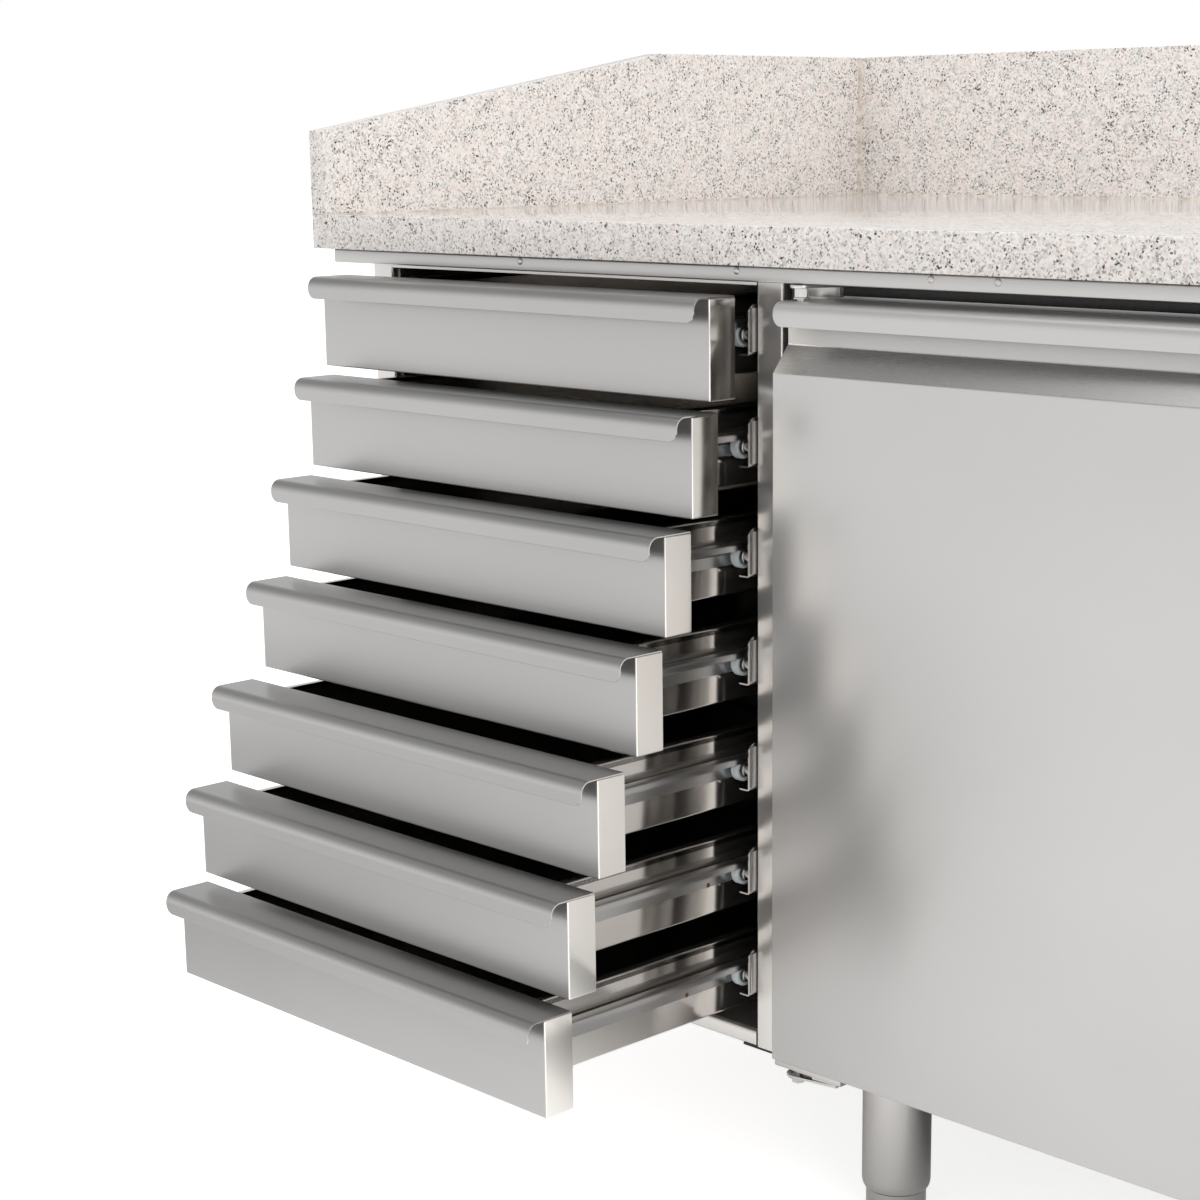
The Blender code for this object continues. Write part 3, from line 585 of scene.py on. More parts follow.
def support():
    """The steel-clad board under the stone, its joint tape and the screws up into the stone."""
    low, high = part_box("worktop_support")
    shape = bmesh.new()
    add_block(shape, low, at(high, 0, 0, -0.9), 1.3, 3)
    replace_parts(solid("support_strip", shape, "strip_steel"), "worktop_support")
    tape = bmesh.new()
    add_block(tape, at((low.x, low.y, high.z), 0.5, 0.5, -1.2), at((high.x, high.y, slab_low.z), -0.5, -0.5))
    solid("support_tape", tape, "rubber")
    screws = bmesh.new()
    for x in SUPPORT_SCREWS:
        add_dome(screws, at((x, low.y, high.z), 0, 0.1, -4.6), (0, -1, 0), 3.1, 1.2, 0.3)
    solid("support_screws", screws, "rack_steel")


# Drawer cabinet and its running gear
def casing():
    low, high = cabinet_low, cabinet_high
    front, rear = low.y, high.y
    shape = bmesh.new()
    walls = [(bay_left, front + POST_RETURN), (bay_left, front), (low.x, front), (low.x, rear), (high.x, rear),
             (high.x, front), (bay_right, front), (bay_right, front + POST_RETURN)]
    add_sheet(shape, rounded(walls, 2.2), -CARCASS, "z", (low.z, high.z))
    gap, step = 0.7 * MM, low.z + 13.5 * MM
    rail = [(rear - CARCASS, low.z), (front, low.z), (front, step), (front + 7 * MM, step)]
    add_sheet(shape, rounded(rail, 2), -CARCASS, "x", (bay_left + gap, bay_right - gap))
    for ends in ((low.x + CARCASS, bay_left), (bay_right, high.x - CARCASS)):
        add_block(shape, (ends[0], front + CARCASS, low.z), (ends[1], rear - CARCASS, low.z + CARCASS))
    rail = [(front, high.z - 5 * MM), (front, high.z), (front + 20 * MM, high.z)]
    add_sheet(shape, rounded(rail, 1.8), -CARCASS, "x", (bay_left, bay_right))
    shell = solid("drawer_casing", shape, "post_steel", sides="panel_steel")
    for face in shell.data.polygons:
        if face.normal.y > FACING:
            face.material_index = 1
    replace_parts(shell, "drawer_cabinet")
    # Black strips under the posts' bottom front edge and up the joint to the cold cabinet, along the dark lines there.
    dark_strips = bmesh.new()
    for left, right in ((bay_right - 16 * MM, high.x), (low.x, bay_left + 16 * MM)):
        add_block(dark_strips, at((left, front, low.z), 0, 0.1, -2), at((right, front, low.z), 0, 3, 0.2))
    add_block(dark_strips, at((high.x, front, low.z), 0.2, 3, 2), at((cold_low.x, front, high.z), -0.2, 30, -2))
    solid("casing_dark_strips", dark_strips, "rubber")


def face_bottom(index):
    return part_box(f"drawer_front_{index}")[0].z


def corner_heights(radius):
    """Distances from a rounded corner's end, closer together where it turns most."""
    return [radius * (1 - cos(angle)) for angle in spread(0, QUARTER, 9)]


def corner_draw(radius, distance):
    """How far a rounded corner draws its edge in, at a distance from the corner's end."""
    return radius - sqrt(max(radius ** 2 - max(radius - distance, 0) ** 2, 0))


def runner_rack(label, side):
    """A side panel with seven folded runners, each with its roller's pin."""
    low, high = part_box(f"runner_panel_{label}")
    front, back = low.y, high.y
    plate = front + 15.5 * MM
    shape, pins = bmesh.new(), bmesh.new()
    side_plate(shape, side, (plate, back), (low.z, high.z), 0.3)
    for index in DRAWERS:
        base = face_bottom(index)
        bottom, top, corner = base + 31.5 * MM, base + 74 * MM, 8 * MM
        outer, reach = inward(side, 1.8), inward(side, 13.3)
        path = [Vector((outer, top - height)) for height in corner_heights(corner)]
        path += rounded([(outer, top - corner), (outer, bottom), (reach, bottom)], 2.2)[1:]
        add_sheet(shape, path, -side * CARCASS, "y", (front, back), 0.25,
                  lambda point: (corner_draw(corner, top - point.y), 0))
        side_plate(shape, side, (front + 1.6 * MM, plate + 2 * MM), (bottom + 3 * MM, top - 3 * MM), 0.5)
        for y in spread(front, back, 5)[1:-1]:
            add_dome(shape, (inward(side, 3.3), y, base + 62 * MM), (-side, 0, 0), 3.5, 1.2, 0.2, 14)
        boss = mm((0, 17.1), (2.2, 17.1), (2.6, 16.7), (2.6, 11.8), (3.8, 11.8), (4.2, 11.4), (4.2, 10.6),
                  (5.9, 10.2), (6.2, 9.7), (6.2, 6.8), (5.8, 6.4), (4.2, 6.2), (4.2, 2.4), (5.6, 2.4),
                  (5.6, 0), (0, 0))
        add_turned(pins, boss, (inward(side, 3.2), front + 6.7 * MM, base + 48.5 * MM), (-side, 0, 0), 28)
    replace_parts(solid(f"runner_rack_{label}", shape, "rack_steel"), f"runner_panel_{label}")
    solid(f"roller_pins_{label}", pins, "rack_steel")


def roller(label, side, index):
    """A nylon roller with rounded rims and a recess round its pin's boss."""
    name = f"roller_{label}_{index}"
    low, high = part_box(name)
    profile = mm((2.9, -4), (9.6, -4), (10.2, -3.7), (10.5, -3.0), (10.5, 3.0), (10.2, 3.7), (9.6, 4), (7.9, 4),
                 (7.5, 3.7), (7.5, 1.0), (2.9, 1.0))
    shape = bmesh.new()
    add_turned(shape, profile, (low + high) / 2, (side, 0, 0), 40, closed=True)
    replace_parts(solid(f"nylon_{label}_{index}", shape, "nylon", 30, name), name)


# Drawers
def add_grip(shape, low, high):
    """Add the sheet that curls forward over a front as its grip, its lip's lower corners rounded."""
    front, top = low.y, high.z
    bottom = top - LIP_DROP

    def draw_in(point):
        if abs(point.x - front) > 0.1 * MM:
            return (0, 0)
        return (corner_draw(LIP_CORNER, point.y - bottom),) * 2

    path = [(front, bottom + height) for height in corner_heights(LIP_CORNER)]
    path += arc((front + NOSE, top - NOSE), NOSE, 2, 1) + [(high.y - 0.6 * MM, top)]
    add_sheet(shape, [Vector(point) for point in path], -SHEET, "x", (low.x, high.x), 0.25, draw_in)


def drawer_front(index):
    """A folded front with side returns, and its grip."""
    low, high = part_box(f"drawer_front_{index}")
    shape = bmesh.new()
    add_pan(shape, (low.x, low.y + LIP, low.z), (high.x, high.y, high.z - SHEET), (0, 1, 0), 1.4, SHEET)
    add_grip(shape, low, high)
    body = f"drawer_{index}"
    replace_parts(solid(body + "_face", shape, "front_steel", body=body, sides="return_steel"), f"drawer_front_{index}")


def drawer_tray(index):
    """A folded tray with turned-in rims and a folded rail welded along each side."""
    low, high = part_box(f"drawer_box_{index}")
    base, half = face_bottom(index), 212.8 * MM
    shape, rails, spots = bmesh.new(), bmesh.new(), bmesh.new()
    add_pan(shape, (bay_middle - half, low.y, low.z), (bay_middle + half, high.y, high.z - SHEET), (0, 0, 1),
            2, SHEET)
    for side in (-1, 1):
        wall = bay_middle + side * half
        rim = [(wall, high.z - 6 * MM), (wall, high.z), (wall - side * 8 * MM, high.z)]
        add_sheet(shape, rounded(rim, 1.6), side * SHEET, "y", (low.y, high.y))
        rail = [(wall + side * x, base + z) for x, z in mm(
            (0, 40.5), (0, 50.5), (3, 53.5), (3, 60.5), (14.8, 60.5), (14.8, 54.5))]
        add_sheet(rails, rounded(rail, [0.8, 0.8, 2, 2]), -side * SHEET, "y", (low.y + 4 * MM, high.y))
        for reach in WELDS:
            place = (wall + side * (SHEET - 0.1 * MM), low.y + reach, base + 42.3 * MM)
            add_dome(spots, place, (side, 0, 0), 2.3, 0.5, 0.05, 12)
    body = f"drawer_{index}"
    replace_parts(solid(body + "_tray", shape, "side_steel", body=body), f"drawer_box_{index}")
    solid(body + "_rails", rails, "rail_steel", body=body)
    solid(body + "_welds", spots, "weld", body=body)


# Door
def door():
    low, high = door_low, door_high
    recess, back, under = low.y + LIP, high.y, high.z - SHEET
    band = high.z - 35 * MM
    slope = band - 22 * MM
    shape = bmesh.new()
    add_prism(shape, [(back, low.z), (low.y, low.z), (low.y, slope), (recess, band), (recess, under), (back, under)],
              "x", (low.x, high.x))
    soften(shape, 1.0, 3, 30)
    add_grip(shape, low, high)
    outer = solid("door_outer", shape, "door_steel", body="door", sides="rack_steel")
    # The slope's faces take the darker copy of the door's steel: painted shade for the shade under the grip.
    outer.data.materials.append(LOOKS["shaded_slope_steel"])
    for face in outer.data.polygons:
        if 0.2 < face.normal.z < 0.9 and face.normal.y < 0 and slope < face.center.z < band:
            face.material_index = 2
    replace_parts(outer, "door_skin")

    def door_frame(profile, start, **ends):
        made = bmesh.new()
        profile = [(inset, start + y) for inset, y in mm(*profile)]
        add_frame(made, low.xz, high.xz, profile, **ends)
        return made

    inner = door_frame([(1.5, -1.0), (1.6, 0.1), (30, 0.1), (33, 0.4), (38, 4.4), (41, 5.0), (72, 5.0), (76, 4.2),
                        (80, 2.6), (84, 2.2)], back, capped=True)
    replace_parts(solid("door_liner", inner, "liner", 30, "door"), "door_inner_panel")
    start, end = (corner.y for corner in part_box("door_gasket"))
    deep = (end - start) / MM
    seal = door_frame([(14.5, 0), (29.0, 0), (27.3, 2), (28.6, deep / 2), (28.6, deep - 0.6), (28.0, deep),
                       (15.5, deep), (14.9, deep - 0.6), (14.9, deep / 2), (16.2, 2)], start, closed=True)
    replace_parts(solid("door_seal", seal, "rubber", 50, "door"), "door_gasket")


def hinges():
    """The brackets that hold the door's pins, above and below it."""
    pin = (door_low.x + 14 * MM, door_low.y + 18.7 * MM)
    face, high, over = cold_low.y - TOUCH, cabinet_high.z, door_high.z
    top = bmesh.new()
    plate = [(pin[0] + 24 * MM, face), (pin[0] - 12 * MM, face)] + arc(pin, 9 * MM, 2, 4)
    add_prism(top, plate, "z", (high - 2.9 * MM, high - 0.4 * MM), 0.4)
    add_block(top, (UPPER_HINGE[0], face - 2.4 * MM, over + 1.2 * MM), (UPPER_HINGE[1], face, high - 0.4 * MM), 0.6)
    washer = mm((0, 0), (6.3, 0), (6.6, -0.3), (6.6, -0.8), (6.3, -1.1), (0, -1.1))
    add_turned(top, washer, (*pin, over + 2.6 * MM), steps=32)
    nut(top, pin, over + 2.6 * MM, high - 2.9 * MM)
    add_turned(top, mm((0, 0), (3.5, 0), (3.5, -14), (0, -14)), (*pin, over + 2 * MM), steps=24)
    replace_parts(solid("upper_hinge", top, "hinge_steel", 30), "hinge_top")

    low = bmesh.new()
    under = door_low.z - 1.2 * MM
    left, right = LOWER_HINGE
    add_block(low, (left, pin[1] - 15 * MM, under - 5 * MM), (right, face, under), 0.5)
    add_block(low, (left, face - 3 * MM, under - 5 * MM), (right, face, under + 8.5 * MM), 0.5)
    add_dome(low, (right - 1.5 * MM, pin[1] - 10.5 * MM, under - 3.4 * MM), (1, 0, 0), 1.6, 1.6)
    tongue = [at(pin, 44, 10)] + arc(pin, 10 * MM, 1, 3) + [at(pin, 2, -10), at(pin, 44, -2)]
    plate = under - 14.6 * MM
    add_prism(low, tongue, "z", (plate, plate + 2.4 * MM), 0.5)
    add_prism(low, [at(pin, 20, -5), at(pin, 44, -2), at(pin, 44, 10), at(pin, 20, 10)], "z",
              (plate + 2.2 * MM, under - 3.4 * MM))
    add_turned(low, mm((0, 0), (8.4, 0), (8.8, -0.4), (8.4, -1.4), (0, -1.4)), (*pin, plate), steps=32)
    nut(low, pin, plate - 6.2 * MM, plate - 1.4 * MM)
    add_turned(low, mm((0, 0), (3.5, 0), (3.5, -30), (0, -30)), (*pin, under + 13 * MM), steps=24)
    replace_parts(solid("lower_hinge", low, "rack_steel", 30), "hinge_bottom")


def nut(shape, place, low, high):
    """Add a hexagon nut or bush with chamfered ends."""
    radius, chamfer, tall = 5.6 * MM, 0.6 * MM, high - low
    profile = [(0, tall), (radius - chamfer, tall), (radius, tall - chamfer * 0.6), (radius, chamfer * 0.6),
               (radius - chamfer, 0), (0, 0)]
    add_turned(shape, profile, (*place, low), steps=6)


# Cold cabinet, its fittings and the machine bay
def cold_cabinet():
    low, high = cold_low, cold_high
    cavity_low = Vector((low.x + HINGE_WALL, low.y, low.z + INSULATION))
    cavity_high = Vector((bay_wall - INSULATION, high.y - INSULATION, high.z - INSULATION))
    skin = bmesh.new()
    walls = [(low.x + 16 * MM, low.y), (low.x, low.y), (low.x, high.y), (bay_wall, high.y)]
    add_sheet(skin, rounded(walls, 2), -SHEET, "z", (low.z, high.z))
    walls = [(high.x - 16 * MM, high.y), (high.x, high.y), (high.x, low.y), (high.x - 16 * MM, low.y)]
    add_sheet(skin, rounded(walls, 2), SHEET, "z", (low.z, high.z))
    for level in (low.z, high.z - CARCASS):
        add_block(skin, at((low.x, low.y, level), 1.2, 0.4), at((high.x, high.y, level), -1.2, -0.4, 1.5), 0.3)
    add_block(skin, at((bay_wall, low.y, low.z), -1.5, 1.2, 1.5), at((bay_wall, high.y, high.z), 0, 0, -1.5), 0.3)
    rim = [(inset, low.y + y) for inset, y in mm((0, 1.4), (0, 0.2), (43.5, 0.2), (45, 1.7), (45, 9.2))]
    add_frame(skin, (low.x + HINGE_WALL - INSULATION, low.z), (bay_wall, high.z), rim)
    rivets = bmesh.new()
    for x in (low.x + 10 * MM, bay_wall - 10 * MM, high.x - 8 * MM):
        for z in spread(low.z + 60 * MM, high.z - 60 * MM, 5):
            add_dome(rivets, (x, high.y - 0.1 * MM, z), (0, 1, 0), 3.2, 1.4, 0.2, 16)
    solid("cold_rivets", rivets, "bright_steel")
    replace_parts(solid("cold_casing", skin, "panel_steel"), "cold_cabinet")
    # Strips across the front above the door and above and below the machine bay, black as painted shade for the shaded
    # gaps there.
    shade_strips = bmesh.new()
    wall, end, upper = bay_wall - 2 * MM, high.x - 1.5 * MM, high.z - 0.6 * MM
    for left, right, bottom, top in (
            (UPPER_HINGE[1] + 1.2 * MM, wall, door_high.z + 2.4 * MM, upper),
            (wall, end, door_high.z - 12 * MM, upper), (wall, end, low.z + 0.6 * MM, door_low.z + 12 * MM)):
        add_block(shade_strips, (left, low.y - 0.1 * MM, bottom), (right, low.y + 0.8 * MM, top), 0.1)
    solid("cold_front_shade_strips", shade_strips, "black_plastic")
    liner = bmesh.new()
    add_pan(liner, at(cavity_low, -1.2, 8.6, -1.2), at(cavity_high, 1.2, 1.2, 1.2), (0, -1, 0), 9, SHEET, 6)
    shelf_low, shelf_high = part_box("shelf")
    for wall, toward in ((cavity_low.x, 1), (cavity_high.x, -1)):
        ledge = [(wall + toward * x, shelf_low.z + z) for x, z in mm((0.2, -12), (0.2, -0.3), (12, -0.3), (12, -5))]
        add_sheet(liner, rounded(ledge, 1.6, 3), -toward * SHEET, "y", (shelf_low.y, shelf_high.y))
    solid("cold_liner", liner, "liner", 30)


def add_rod(shape, start, end, radius, steps=14):
    """Add a straight wire with rounded ends."""
    start, end = Vector(start), Vector(end)
    length = (end - start).length
    tip = radius * 0.5
    profile = [(0, length), (radius - tip, length), (radius, length - tip), (radius, tip), (radius - tip, 0), (0, 0)]
    add_turned(shape, profile, start, (end - start).normalized(), steps)


def shelf():
    low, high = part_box("shelf")
    shape = bmesh.new()
    frame_radius, wire = 3 * MM, 1.6 * MM
    z = (low.z + high.z) / 2
    start, end = at(low, 3, 3), at(high, -3, -3)
    loop = corners(start, end)
    for first, second in zip(loop, loop[1:] + loop[:1]):
        add_rod(shape, (*first, z), (*second, z), frame_radius, 18)
    for x in spread(start[0], end[0], 17)[1:-1]:
        add_rod(shape, (x, start[1], high.z - wire), (x, end[1], high.z - wire), wire)
    for y in spread(low.y, high.y, 5)[1:-1]:
        add_rod(shape, (start[0], y, low.z + wire), (end[0], y, low.z + wire), wire)
    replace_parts(solid("wire_shelf", shape, "wire"), "shelf")


def evaporator():
    low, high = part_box("evaporator_cover")
    chamfer = 50 * MM
    shape, grille, opening_shade = bmesh.new(), bmesh.new(), bmesh.new()
    outline = [(high.y, low.z), (high.y, high.z), (low.y, high.z), (low.y, low.z + chamfer), (low.y + chamfer, low.z)]
    add_prism(shape, outline, "x", (low.x, high.x))
    soften(shape, 4, 4, 30)
    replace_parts(solid("evaporator_housing", shape, "liner", 30), "evaporator_cover")
    middle = Vector(((low.x + high.x) / 2, low.y, (low.z + chamfer + high.z) / 2))
    for radius in (12, 22, 32, 42, 52):
        ring = arc((radius * MM, 0), 1.1 * MM, 0, 3.5, 7)
        add_turned(grille, ring, middle, (0, -1, 0), closed=True)
    for angle in spread(0, 1.5 * QUARTER, 4):
        spoke = Vector((cos(angle), 0, sin(angle))) * 54 * MM
        add_rod(grille, middle - spoke, middle + spoke, 1.1 * MM, 10)
    solid("evaporator_grille", grille, "wire")
    # A black disc behind the grille and black slots on the chamfer: painted shade for the dark inside the openings.
    add_turned(opening_shade, mm((0, 0.4), (50, 0.4), (50.5, 0), (0, 0)), middle, (0, -1, 0))
    for x in spread(low.x + 30 * MM, high.x - 30 * MM, 9):
        slot = bmesh.new()
        add_block(slot, *mm((-4, -0.4, -16), (4, 0.4, 16)), 0.3)
        place = Matrix.Translation((x, low.y + chamfer / 2, low.z + chamfer / 2))
        move(slot, place @ Matrix.Rotation(QUARTER / 2, 4, "X"))
        merge(opening_shade, slot)
    solid("evaporator_opening_shade", opening_shade, "black_plastic")


def machine_front():
    """The louvred cover in front of the machine bay, with the switch's bezel and housing."""
    low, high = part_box("louvre_panel")
    switch_low, switch_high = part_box("power_switch")
    switch = ((switch_low.x + switch_high.x) / 2, low.y, (switch_low.z + switch_high.z) / 2)
    shape = bmesh.new()
    add_pan(shape, low, high, (0, 1, 0), 1.8, CARCASS)
    side = 45 * MM
    levels = [low.z + 80 * MM + k * 22 * MM for k in range(12)]
    holes = [((low.x + side, low.y - MM, z), (high.x - side, low.y + 3 * MM, z + 8 * MM)) for z in levels]
    shape = cut(shape, holes + [(at(switch, -15.5, -1, -7.5), at(switch, 15.5, 3, 7.5))])
    for z in levels:
        add_hood(shape, (low.x + side - MM, high.x - side + MM), low.y, z)
    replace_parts(solid("louvre_cover", shape, "front_steel", sides="panel_steel"), "louvre_panel")
    bezel = bmesh.new()
    rim = [(inset, low.y + y) for inset, y in mm((0, 0), (0.5, -1.6), (1.4, -1.9), (2.6, -1.0), (2.9, 6))]
    add_frame(bezel, at(switch[::2], -18, -10), at(switch[::2], 18, 10), rim)
    add_pan(bezel, at(switch, -17, 1.6, -9.5), at(switch, 17, 16, 9.5), (0, -1, 0), 1.5, MM)
    solid("switch_bezel", bezel, "black_plastic", 30)


def add_hood(shape, ends, face, base):
    """Add a pressed louvre: a hood that stands proud over its slot and opens downward."""
    proud, height = 5 * MM, 9.5 * MM
    layers = [[], []]
    for share in spread(0, 1, 29):
        x = ends[0] + (ends[1] - ends[0]) * share
        rise = sin(min(1.0, min(share, 1 - share) * 14) * QUARTER)
        for layer, thick in zip(layers, (0, 0.9 * MM)):
            layer.append([(x, face - (proud * rise * cos(angle) + 0.1 * MM) + thick,
                           base + 0.5 * MM + height * sin(angle)) for angle in spread(0, QUARTER, 8)])
    add_grids(shape, *layers)


def power_switch():
    low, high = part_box("power_switch")
    tilt = radians(8)
    half_x, half_z, deep = (high.x - low.x) / 2, 7 * MM - 12 * MM * sin(tilt), 12 * MM
    front = -7 * MM * sin(tilt)
    hollow = [(front + 1.4 * MM * (1 - share ** 2), half_z * share) for share in spread(-1, 1, 11)]
    shape = bmesh.new()
    add_prism(shape, hollow + [(deep, half_z), (deep, -half_z)], "x", (-half_x, half_x))
    soften(shape, 0.5)
    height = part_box("louvre_panel")[1].z - 85 * MM
    move(shape, Matrix.Translation(((low.x + high.x) / 2, door_low.y, height)) @ Matrix.Rotation(-tilt, 4, "X"))
    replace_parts(solid("switch_rocker", shape, "black_plastic", 30, "power_switch"), "power_switch")


def condensing_unit():
    """The condensing unit: a folded base, a hermetic pot, a finned coil, its shroud and motor."""
    low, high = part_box("condensing_unit")
    base = bmesh.new()
    left, right = (low.x, low.z), (high.x, low.z)
    tray = [at(left, 0, 6), at(left, 0, 1), at(left, 6), at(right, -6), at(right, 0, 1), at(right, 0, 6)]
    add_sheet(base, rounded(tray, 1.5, 3), 2 * MM, "y", (low.y, high.y), 0.3)
    add_block(base, at(low, 3, 2, 2), at((high.x, high.y, low.z), -3, -2, 6), 0.8)
    deck = ((low.x + high.x) / 2, low.y, low.z + 6 * MM)

    def block(start, end, width):
        add_block(base, at(deck, *start), at(deck, *end), width)

    for x in (-115, 113):
        block((x, 0, 0), (x + 2, 60, 230), 0.4)
    for z in (0, 228):
        block((-115, 0, z), (115, 60, z + 2), 0.4)
    ring = mm((104, 0), (104, 35), (100, 35), (100, 4), (103, 0))
    add_turned(base, ring, at(deck, 0, 60, 115), (0, 1, 0), 72, closed=True)
    block((-115, 59.5, 0), (115, 61, 230), 0.3)
    block((-8, 96.3, 0), (8, 107.3, 115), 1.5)
    motor = mm((0, 50), (20, 50), (25, 48), (28, 44), (28, 6), (24, 1), (10, 0), (0, 0))
    add_turned(base, motor, at(deck, 0, 95.3, 115), (0, 1, 0), 40)
    pot_y = 479
    pot = mm((0, 165), (20, 164), (38, 160), (56, 150), (67, 134), (72, 112), (72, 74), (74.6, 72), (74.6, 66),
             (72, 64), (72, 30), (68, 12), (60, 4), (0, 0))
    add_turned(base, pot, at(deck, 0, pot_y), steps=56)
    for turn in range(4):
        angle = QUARTER / 2 + QUARTER * turn
        spot = at(deck, 66 * cos(angle), pot_y + 66 * sin(angle))
        add_turned(base, mm((0, 9), (9, 9), (11, 6), (11, 0), (0, 0)), spot, steps=20)
    block((-26, pot_y - 82, 78), (26, pot_y - 62, 120), 3)
    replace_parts(solid("condensing_set", base, "iron", 30), "condensing_unit")
    fins = bmesh.new()
    for x in spread(-111, 111, 52):
        add_block(fins, at(deck, x - 0.35, 1.5, 3), at(deck, x + 0.35, 58.5, 227))
    solid("coil_fins", fins, "fins")
    pipes = bmesh.new()
    for y in (16, 44):
        for k in range(5):
            z = 24 + 44 * k
            add_pipe(pipes, deck, [(114, y, z), (122, y, z), (122, y, z + 22), (114, y, z + 22)], 4)
    add_pipe(pipes, deck, [(60, pot_y - 20, 120), (96, pot_y - 30, 120), (108, pot_y - 120, 110), (108, 120, 60),
                           (108, 70, 24), (108, 56, 24)], 3)
    add_pipe(pipes, deck, [(-60, pot_y - 20, 60), (-94, pot_y - 30, 60), (-104, pot_y - 110, 90), (-108, 100, 150),
                           (-108, 56, 150)], 4)
    solid("coil_pipes", pipes, "copper", 60)


def add_pipe(shape, base, points, radius):
    """Add a pipe bent smoothly through points that are given in millimetres from a place."""
    curve = configure(bpy.data.curves.new("pipe", "CURVE"), dimensions="3D", bevel_depth=radius * MM,
                      bevel_resolution=3, use_fill_caps=True, resolution_u=6)
    spline = curve.splines.new("NURBS")
    spline.points.add(len(points) - 1)
    for point, place in zip(spline.points, points):
        point.co = (*at(base, *place), 1)
    configure(spline, order_u=3, use_endpoint_u=True)
    merge(shape, evaluated(curve))


def fan():
    """Five twisted blades on a domed hub."""
    low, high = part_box("condenser_fan")
    unit_low, unit_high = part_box("condensing_unit")
    centre = ((unit_low.x + unit_high.x) / 2, (low.y + high.y) / 2, unit_low.z + 121 * MM)
    shape = bmesh.new()
    hub = mm((0, 11), (12, 11), (19, 8.5), (22, 4), (22, -10), (20, -11.5), (0, -11.5))
    add_turned(shape, hub, centre, (0, -1, 0), 40)
    root, tip = 16 * MM, 93 * MM
    for index in range(5):
        turn = Matrix.Translation(centre) @ Matrix.Rotation(2 * pi * index / 5, 4, "Y")
        layers = [[], []]
        for far in spread(0, 1, 11):
            reach = root + (tip - root) * far
            pitch = radians(36 - 14 * far)
            chord = (34 + 16 * sin(pi * min(far * 0.75 + 0.1, 1))) * MM
            for layer, thick in zip(layers, (-1.2 * MM, 1.2 * MM)):
                row = []
                for share in spread(-0.5, 0.5, 9):
                    across = share * chord
                    camber = 2.4 * MM * (1 - (2 * share) ** 2)
                    angle = across * cos(pitch) / max(reach, 30 * MM)
                    depth = across * sin(pitch) * 0.9 + camber + thick - 0.6 * MM
                    row.append(turn @ Vector((reach * cos(angle), depth, reach * sin(angle))))
                layer.append(row)
        add_grids(shape, *layers)
    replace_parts(solid("fan_blades", shape, "black_plastic", 40, "condenser_fan"), "condenser_fan")


def legs():
    for index in range(1, 7):
        low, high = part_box(f"leg_{index}")
        centre = (*((low + high) / 2).xy, 0)
        profile = [(0, high.z), (29.4 * MM, high.z), (30 * MM, high.z - 0.6 * MM)]
        for angle in spread(0, QUARTER, 9):
            profile.append(((30 - 3.3 * (1 - cos(angle))) * MM, low.z + 8.2 * MM * (1 - sin(angle))))
        shape, foot = bmesh.new(), bmesh.new()
        add_turned(shape, profile + [(0, low.z)], centre, steps=96)
        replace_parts(solid(f"leg_{index}_tube", shape, "leg_steel", 40), f"leg_{index}")
        sole = mm((0, 22), (25.4, 22), (26.2, 21.2), (26.2, 4), (25.6, 2), (24, 0.4), (23.2, 0), (0, 0))
        add_turned(foot, sole, centre, steps=96)
        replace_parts(solid(f"foot_{index}_sole", foot, "leg_steel", 40, f"foot_{index}"), f"foot_{index}")


granite_top()
support()
casing()
for label, side in (("left", -1), ("right", 1)):
    runner_rack(label, side)
    for index in DRAWERS:
        roller(label, side, index)
for index in DRAWERS:
    drawer_front(index)
    drawer_tray(index)
door()
hinges()
cold_cabinet()
shelf()
evaporator()
machine_front()
power_switch()
condensing_unit()
fan()
legs()


# Camera, light and floor
def add_camera():
    camera = add_object("camera", configure(bpy.data.cameras.new("camera"), lens=73.17, sensor_width=36,
                                            shift_x=-0.03625, shift_y=0.06825, clip_start=0.05))
    camera.matrix_world = Matrix.Translation((1.2076, -1.72485, 0.9226))
    for angle, axis in ((45.56, "Z"), (90 - 12.68, "X"), (-0.60, "Z")):
        camera.matrix_world = camera.matrix_world @ Matrix.Rotation(radians(angle), 4, axis)
    bpy.context.scene.camera = camera


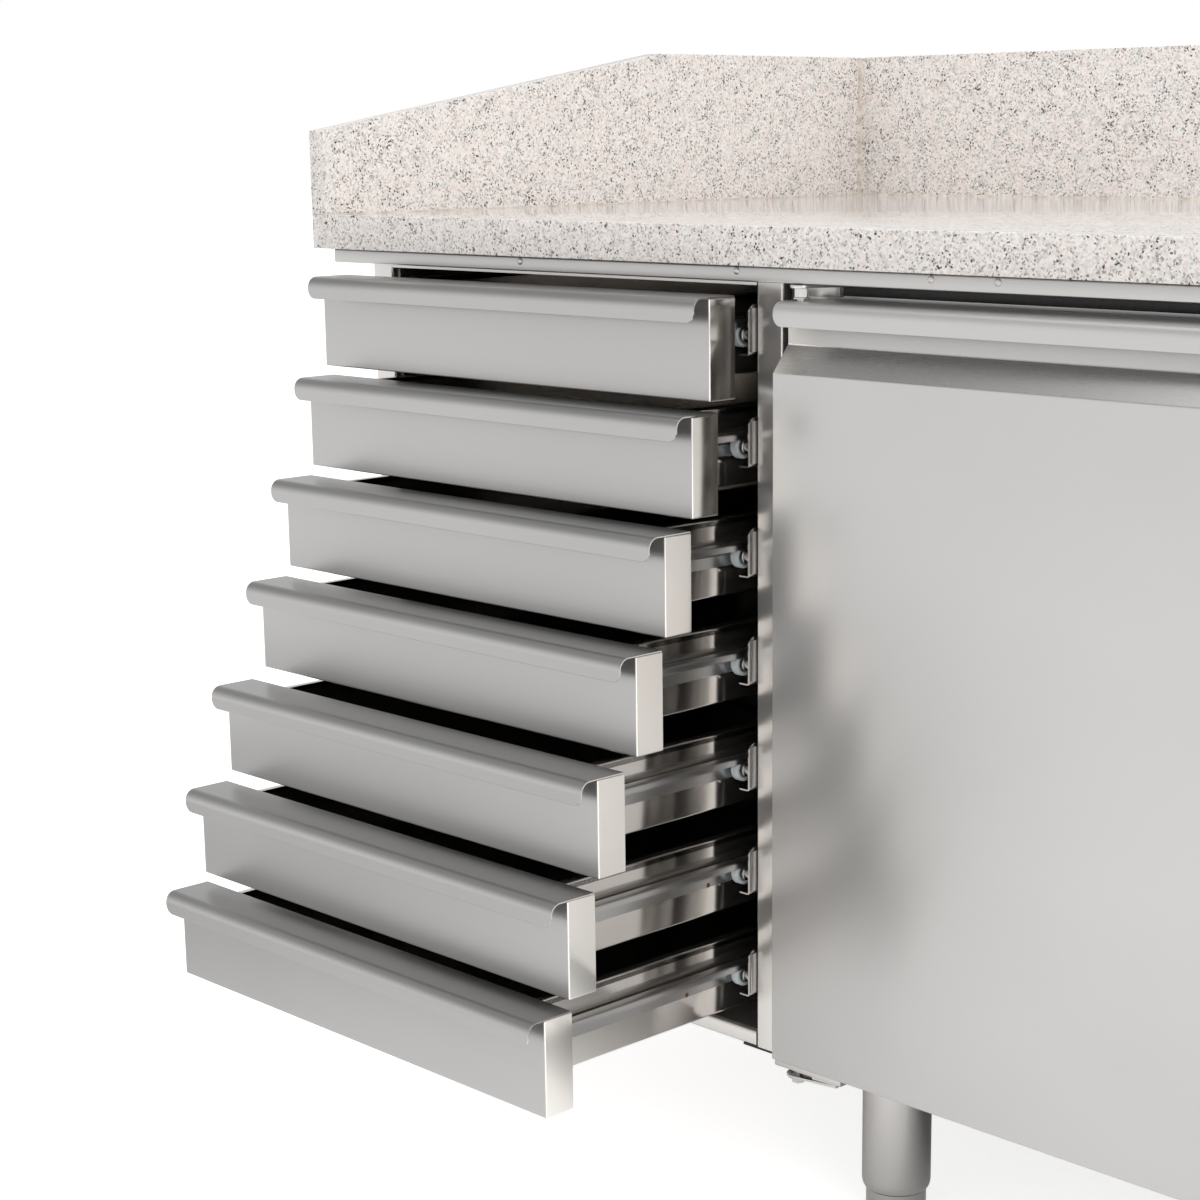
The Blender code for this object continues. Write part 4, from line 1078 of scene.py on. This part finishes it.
def add_world():
    """A white studio; what lights the object in general is a little stronger from the front right."""
    world = configure(bpy.data.worlds.new("studio"), use_nodes=True)
    bpy.context.scene.world = world
    world.node_tree.nodes.clear()
    nodes = Nodes(world.node_tree)
    where = nodes.node("TexCoord").outputs["Generated"]

    def facing(axis, low, high, from_low, from_high):
        """A level that follows how far a ray's direction runs along an axis."""
        return nodes.span(nodes.vector("DOT_PRODUCT", where, axis, "Value"), low, high, from_low, from_high)

    lit = nodes.node("Background", {
        "Color": (1.0, 0.995, 0.985, 1), "Strength": facing((0.65, -0.20, 0.35), 0.62, 1.02, -0.75, 0.75)})
    rays = nodes.node("LightPath").outputs
    seen = rays["Is Camera Ray"]
    dim = nodes.math("MINIMUM", facing((-0.30, -0.95, 0.0), 0.45, 1.0, -0.90, 0.10),
                     facing((0, 0, 1), 1.0, 0.34, 0.12, 0.60))
    behind = nodes.node("Background", {"Color": (1, 1, 1, 1), "Strength": nodes.math("MAXIMUM", seen, dim)})
    for kind in ("Is Glossy Ray", "Is Transmission Ray"):
        seen = nodes.math("MAXIMUM", seen, rays[kind])
    mix = nodes.node("MixShader", {"Fac": seen, 1: lit.outputs[0], 2: behind.outputs[0]})
    nodes.node("OutputWorld", {"Surface": mix.outputs[0]})


def add_floor():
    """A white floor with no horizon; polished steel sees it darker under the table and at its front left, where painted
    shade cuts its glow.
    """
    mesh = bpy.data.meshes.new("floor")
    mesh.from_pydata([(*corner, 0) for corner in corners((-30, -30), (30, 30))], [], [(0, 1, 2, 3)])
    floor = add_object("floor", mesh)
    recipe = Recipe("floor", Roughness=0.8, Specular_IOR_Level=0.0, Base_Color=(0.70, 0.70, 0.70, 1),
                    Emission_Color=(1, 1, 1, 1))
    rays = recipe.node("LightPath").outputs
    seen = recipe.math("MAXIMUM", rays["Is Glossy Ray"], rays["Is Transmission Ray"])
    glossy_glow_with_painted_shade = 0.55
    # Painted shade in the glow that glossy rays see: it fades out under the table and round a spot at the front left.
    for centre, stretch, far in (((-1.5, -1.0, 0), (1, 1, 0), 1.3), ((0.05, 0.25, 0), (0.8, 1.3, 0), 0.95)):
        away = recipe.vector("MULTIPLY", recipe.vector("SUBTRACT", recipe.place(), centre), stretch)
        distance = recipe.node("VectorMath", {0: away}, operation="LENGTH").outputs["Value"]
        glossy_glow_with_painted_shade = recipe.math("MULTIPLY", glossy_glow_with_painted_shade, recipe.span(distance, 0, 1, 0.35, far))
    direct = recipe.math("MULTIPLY", rays["Is Camera Ray"], 0.74)
    recipe.set("Emission Strength", recipe.math("ADD", recipe.math("MULTIPLY", seen, glossy_glow_with_painted_shade), direct))
    mesh.materials.append(recipe.material)


def add_light(name, place, target, size, power, colour=(1, 1, 1)):
    light = add_object(name, configure(bpy.data.lights.new(name, "AREA"), shape="RECTANGLE", size=size[0],
                                       size_y=size[1], energy=power, color=colour))
    aim = (Vector(target) - Vector(place)).normalized()
    light.matrix_world = Matrix.Translation(place) @ aim.to_track_quat("-Z", "Y").to_matrix().to_4x4()


add_camera()
add_world()
add_floor()
add_light("key", (3.6, -1.6, 2.2), (0, 0, 0.6), (2.2, 2.2), 34, (1.0, 0.97, 0.93))
add_light("top", (-0.4, -0.6, 3.2), (0, 0, 0.8), (3.0, 2.0), 26)

bpy.context.scene.view_settings.view_transform = "Standard"
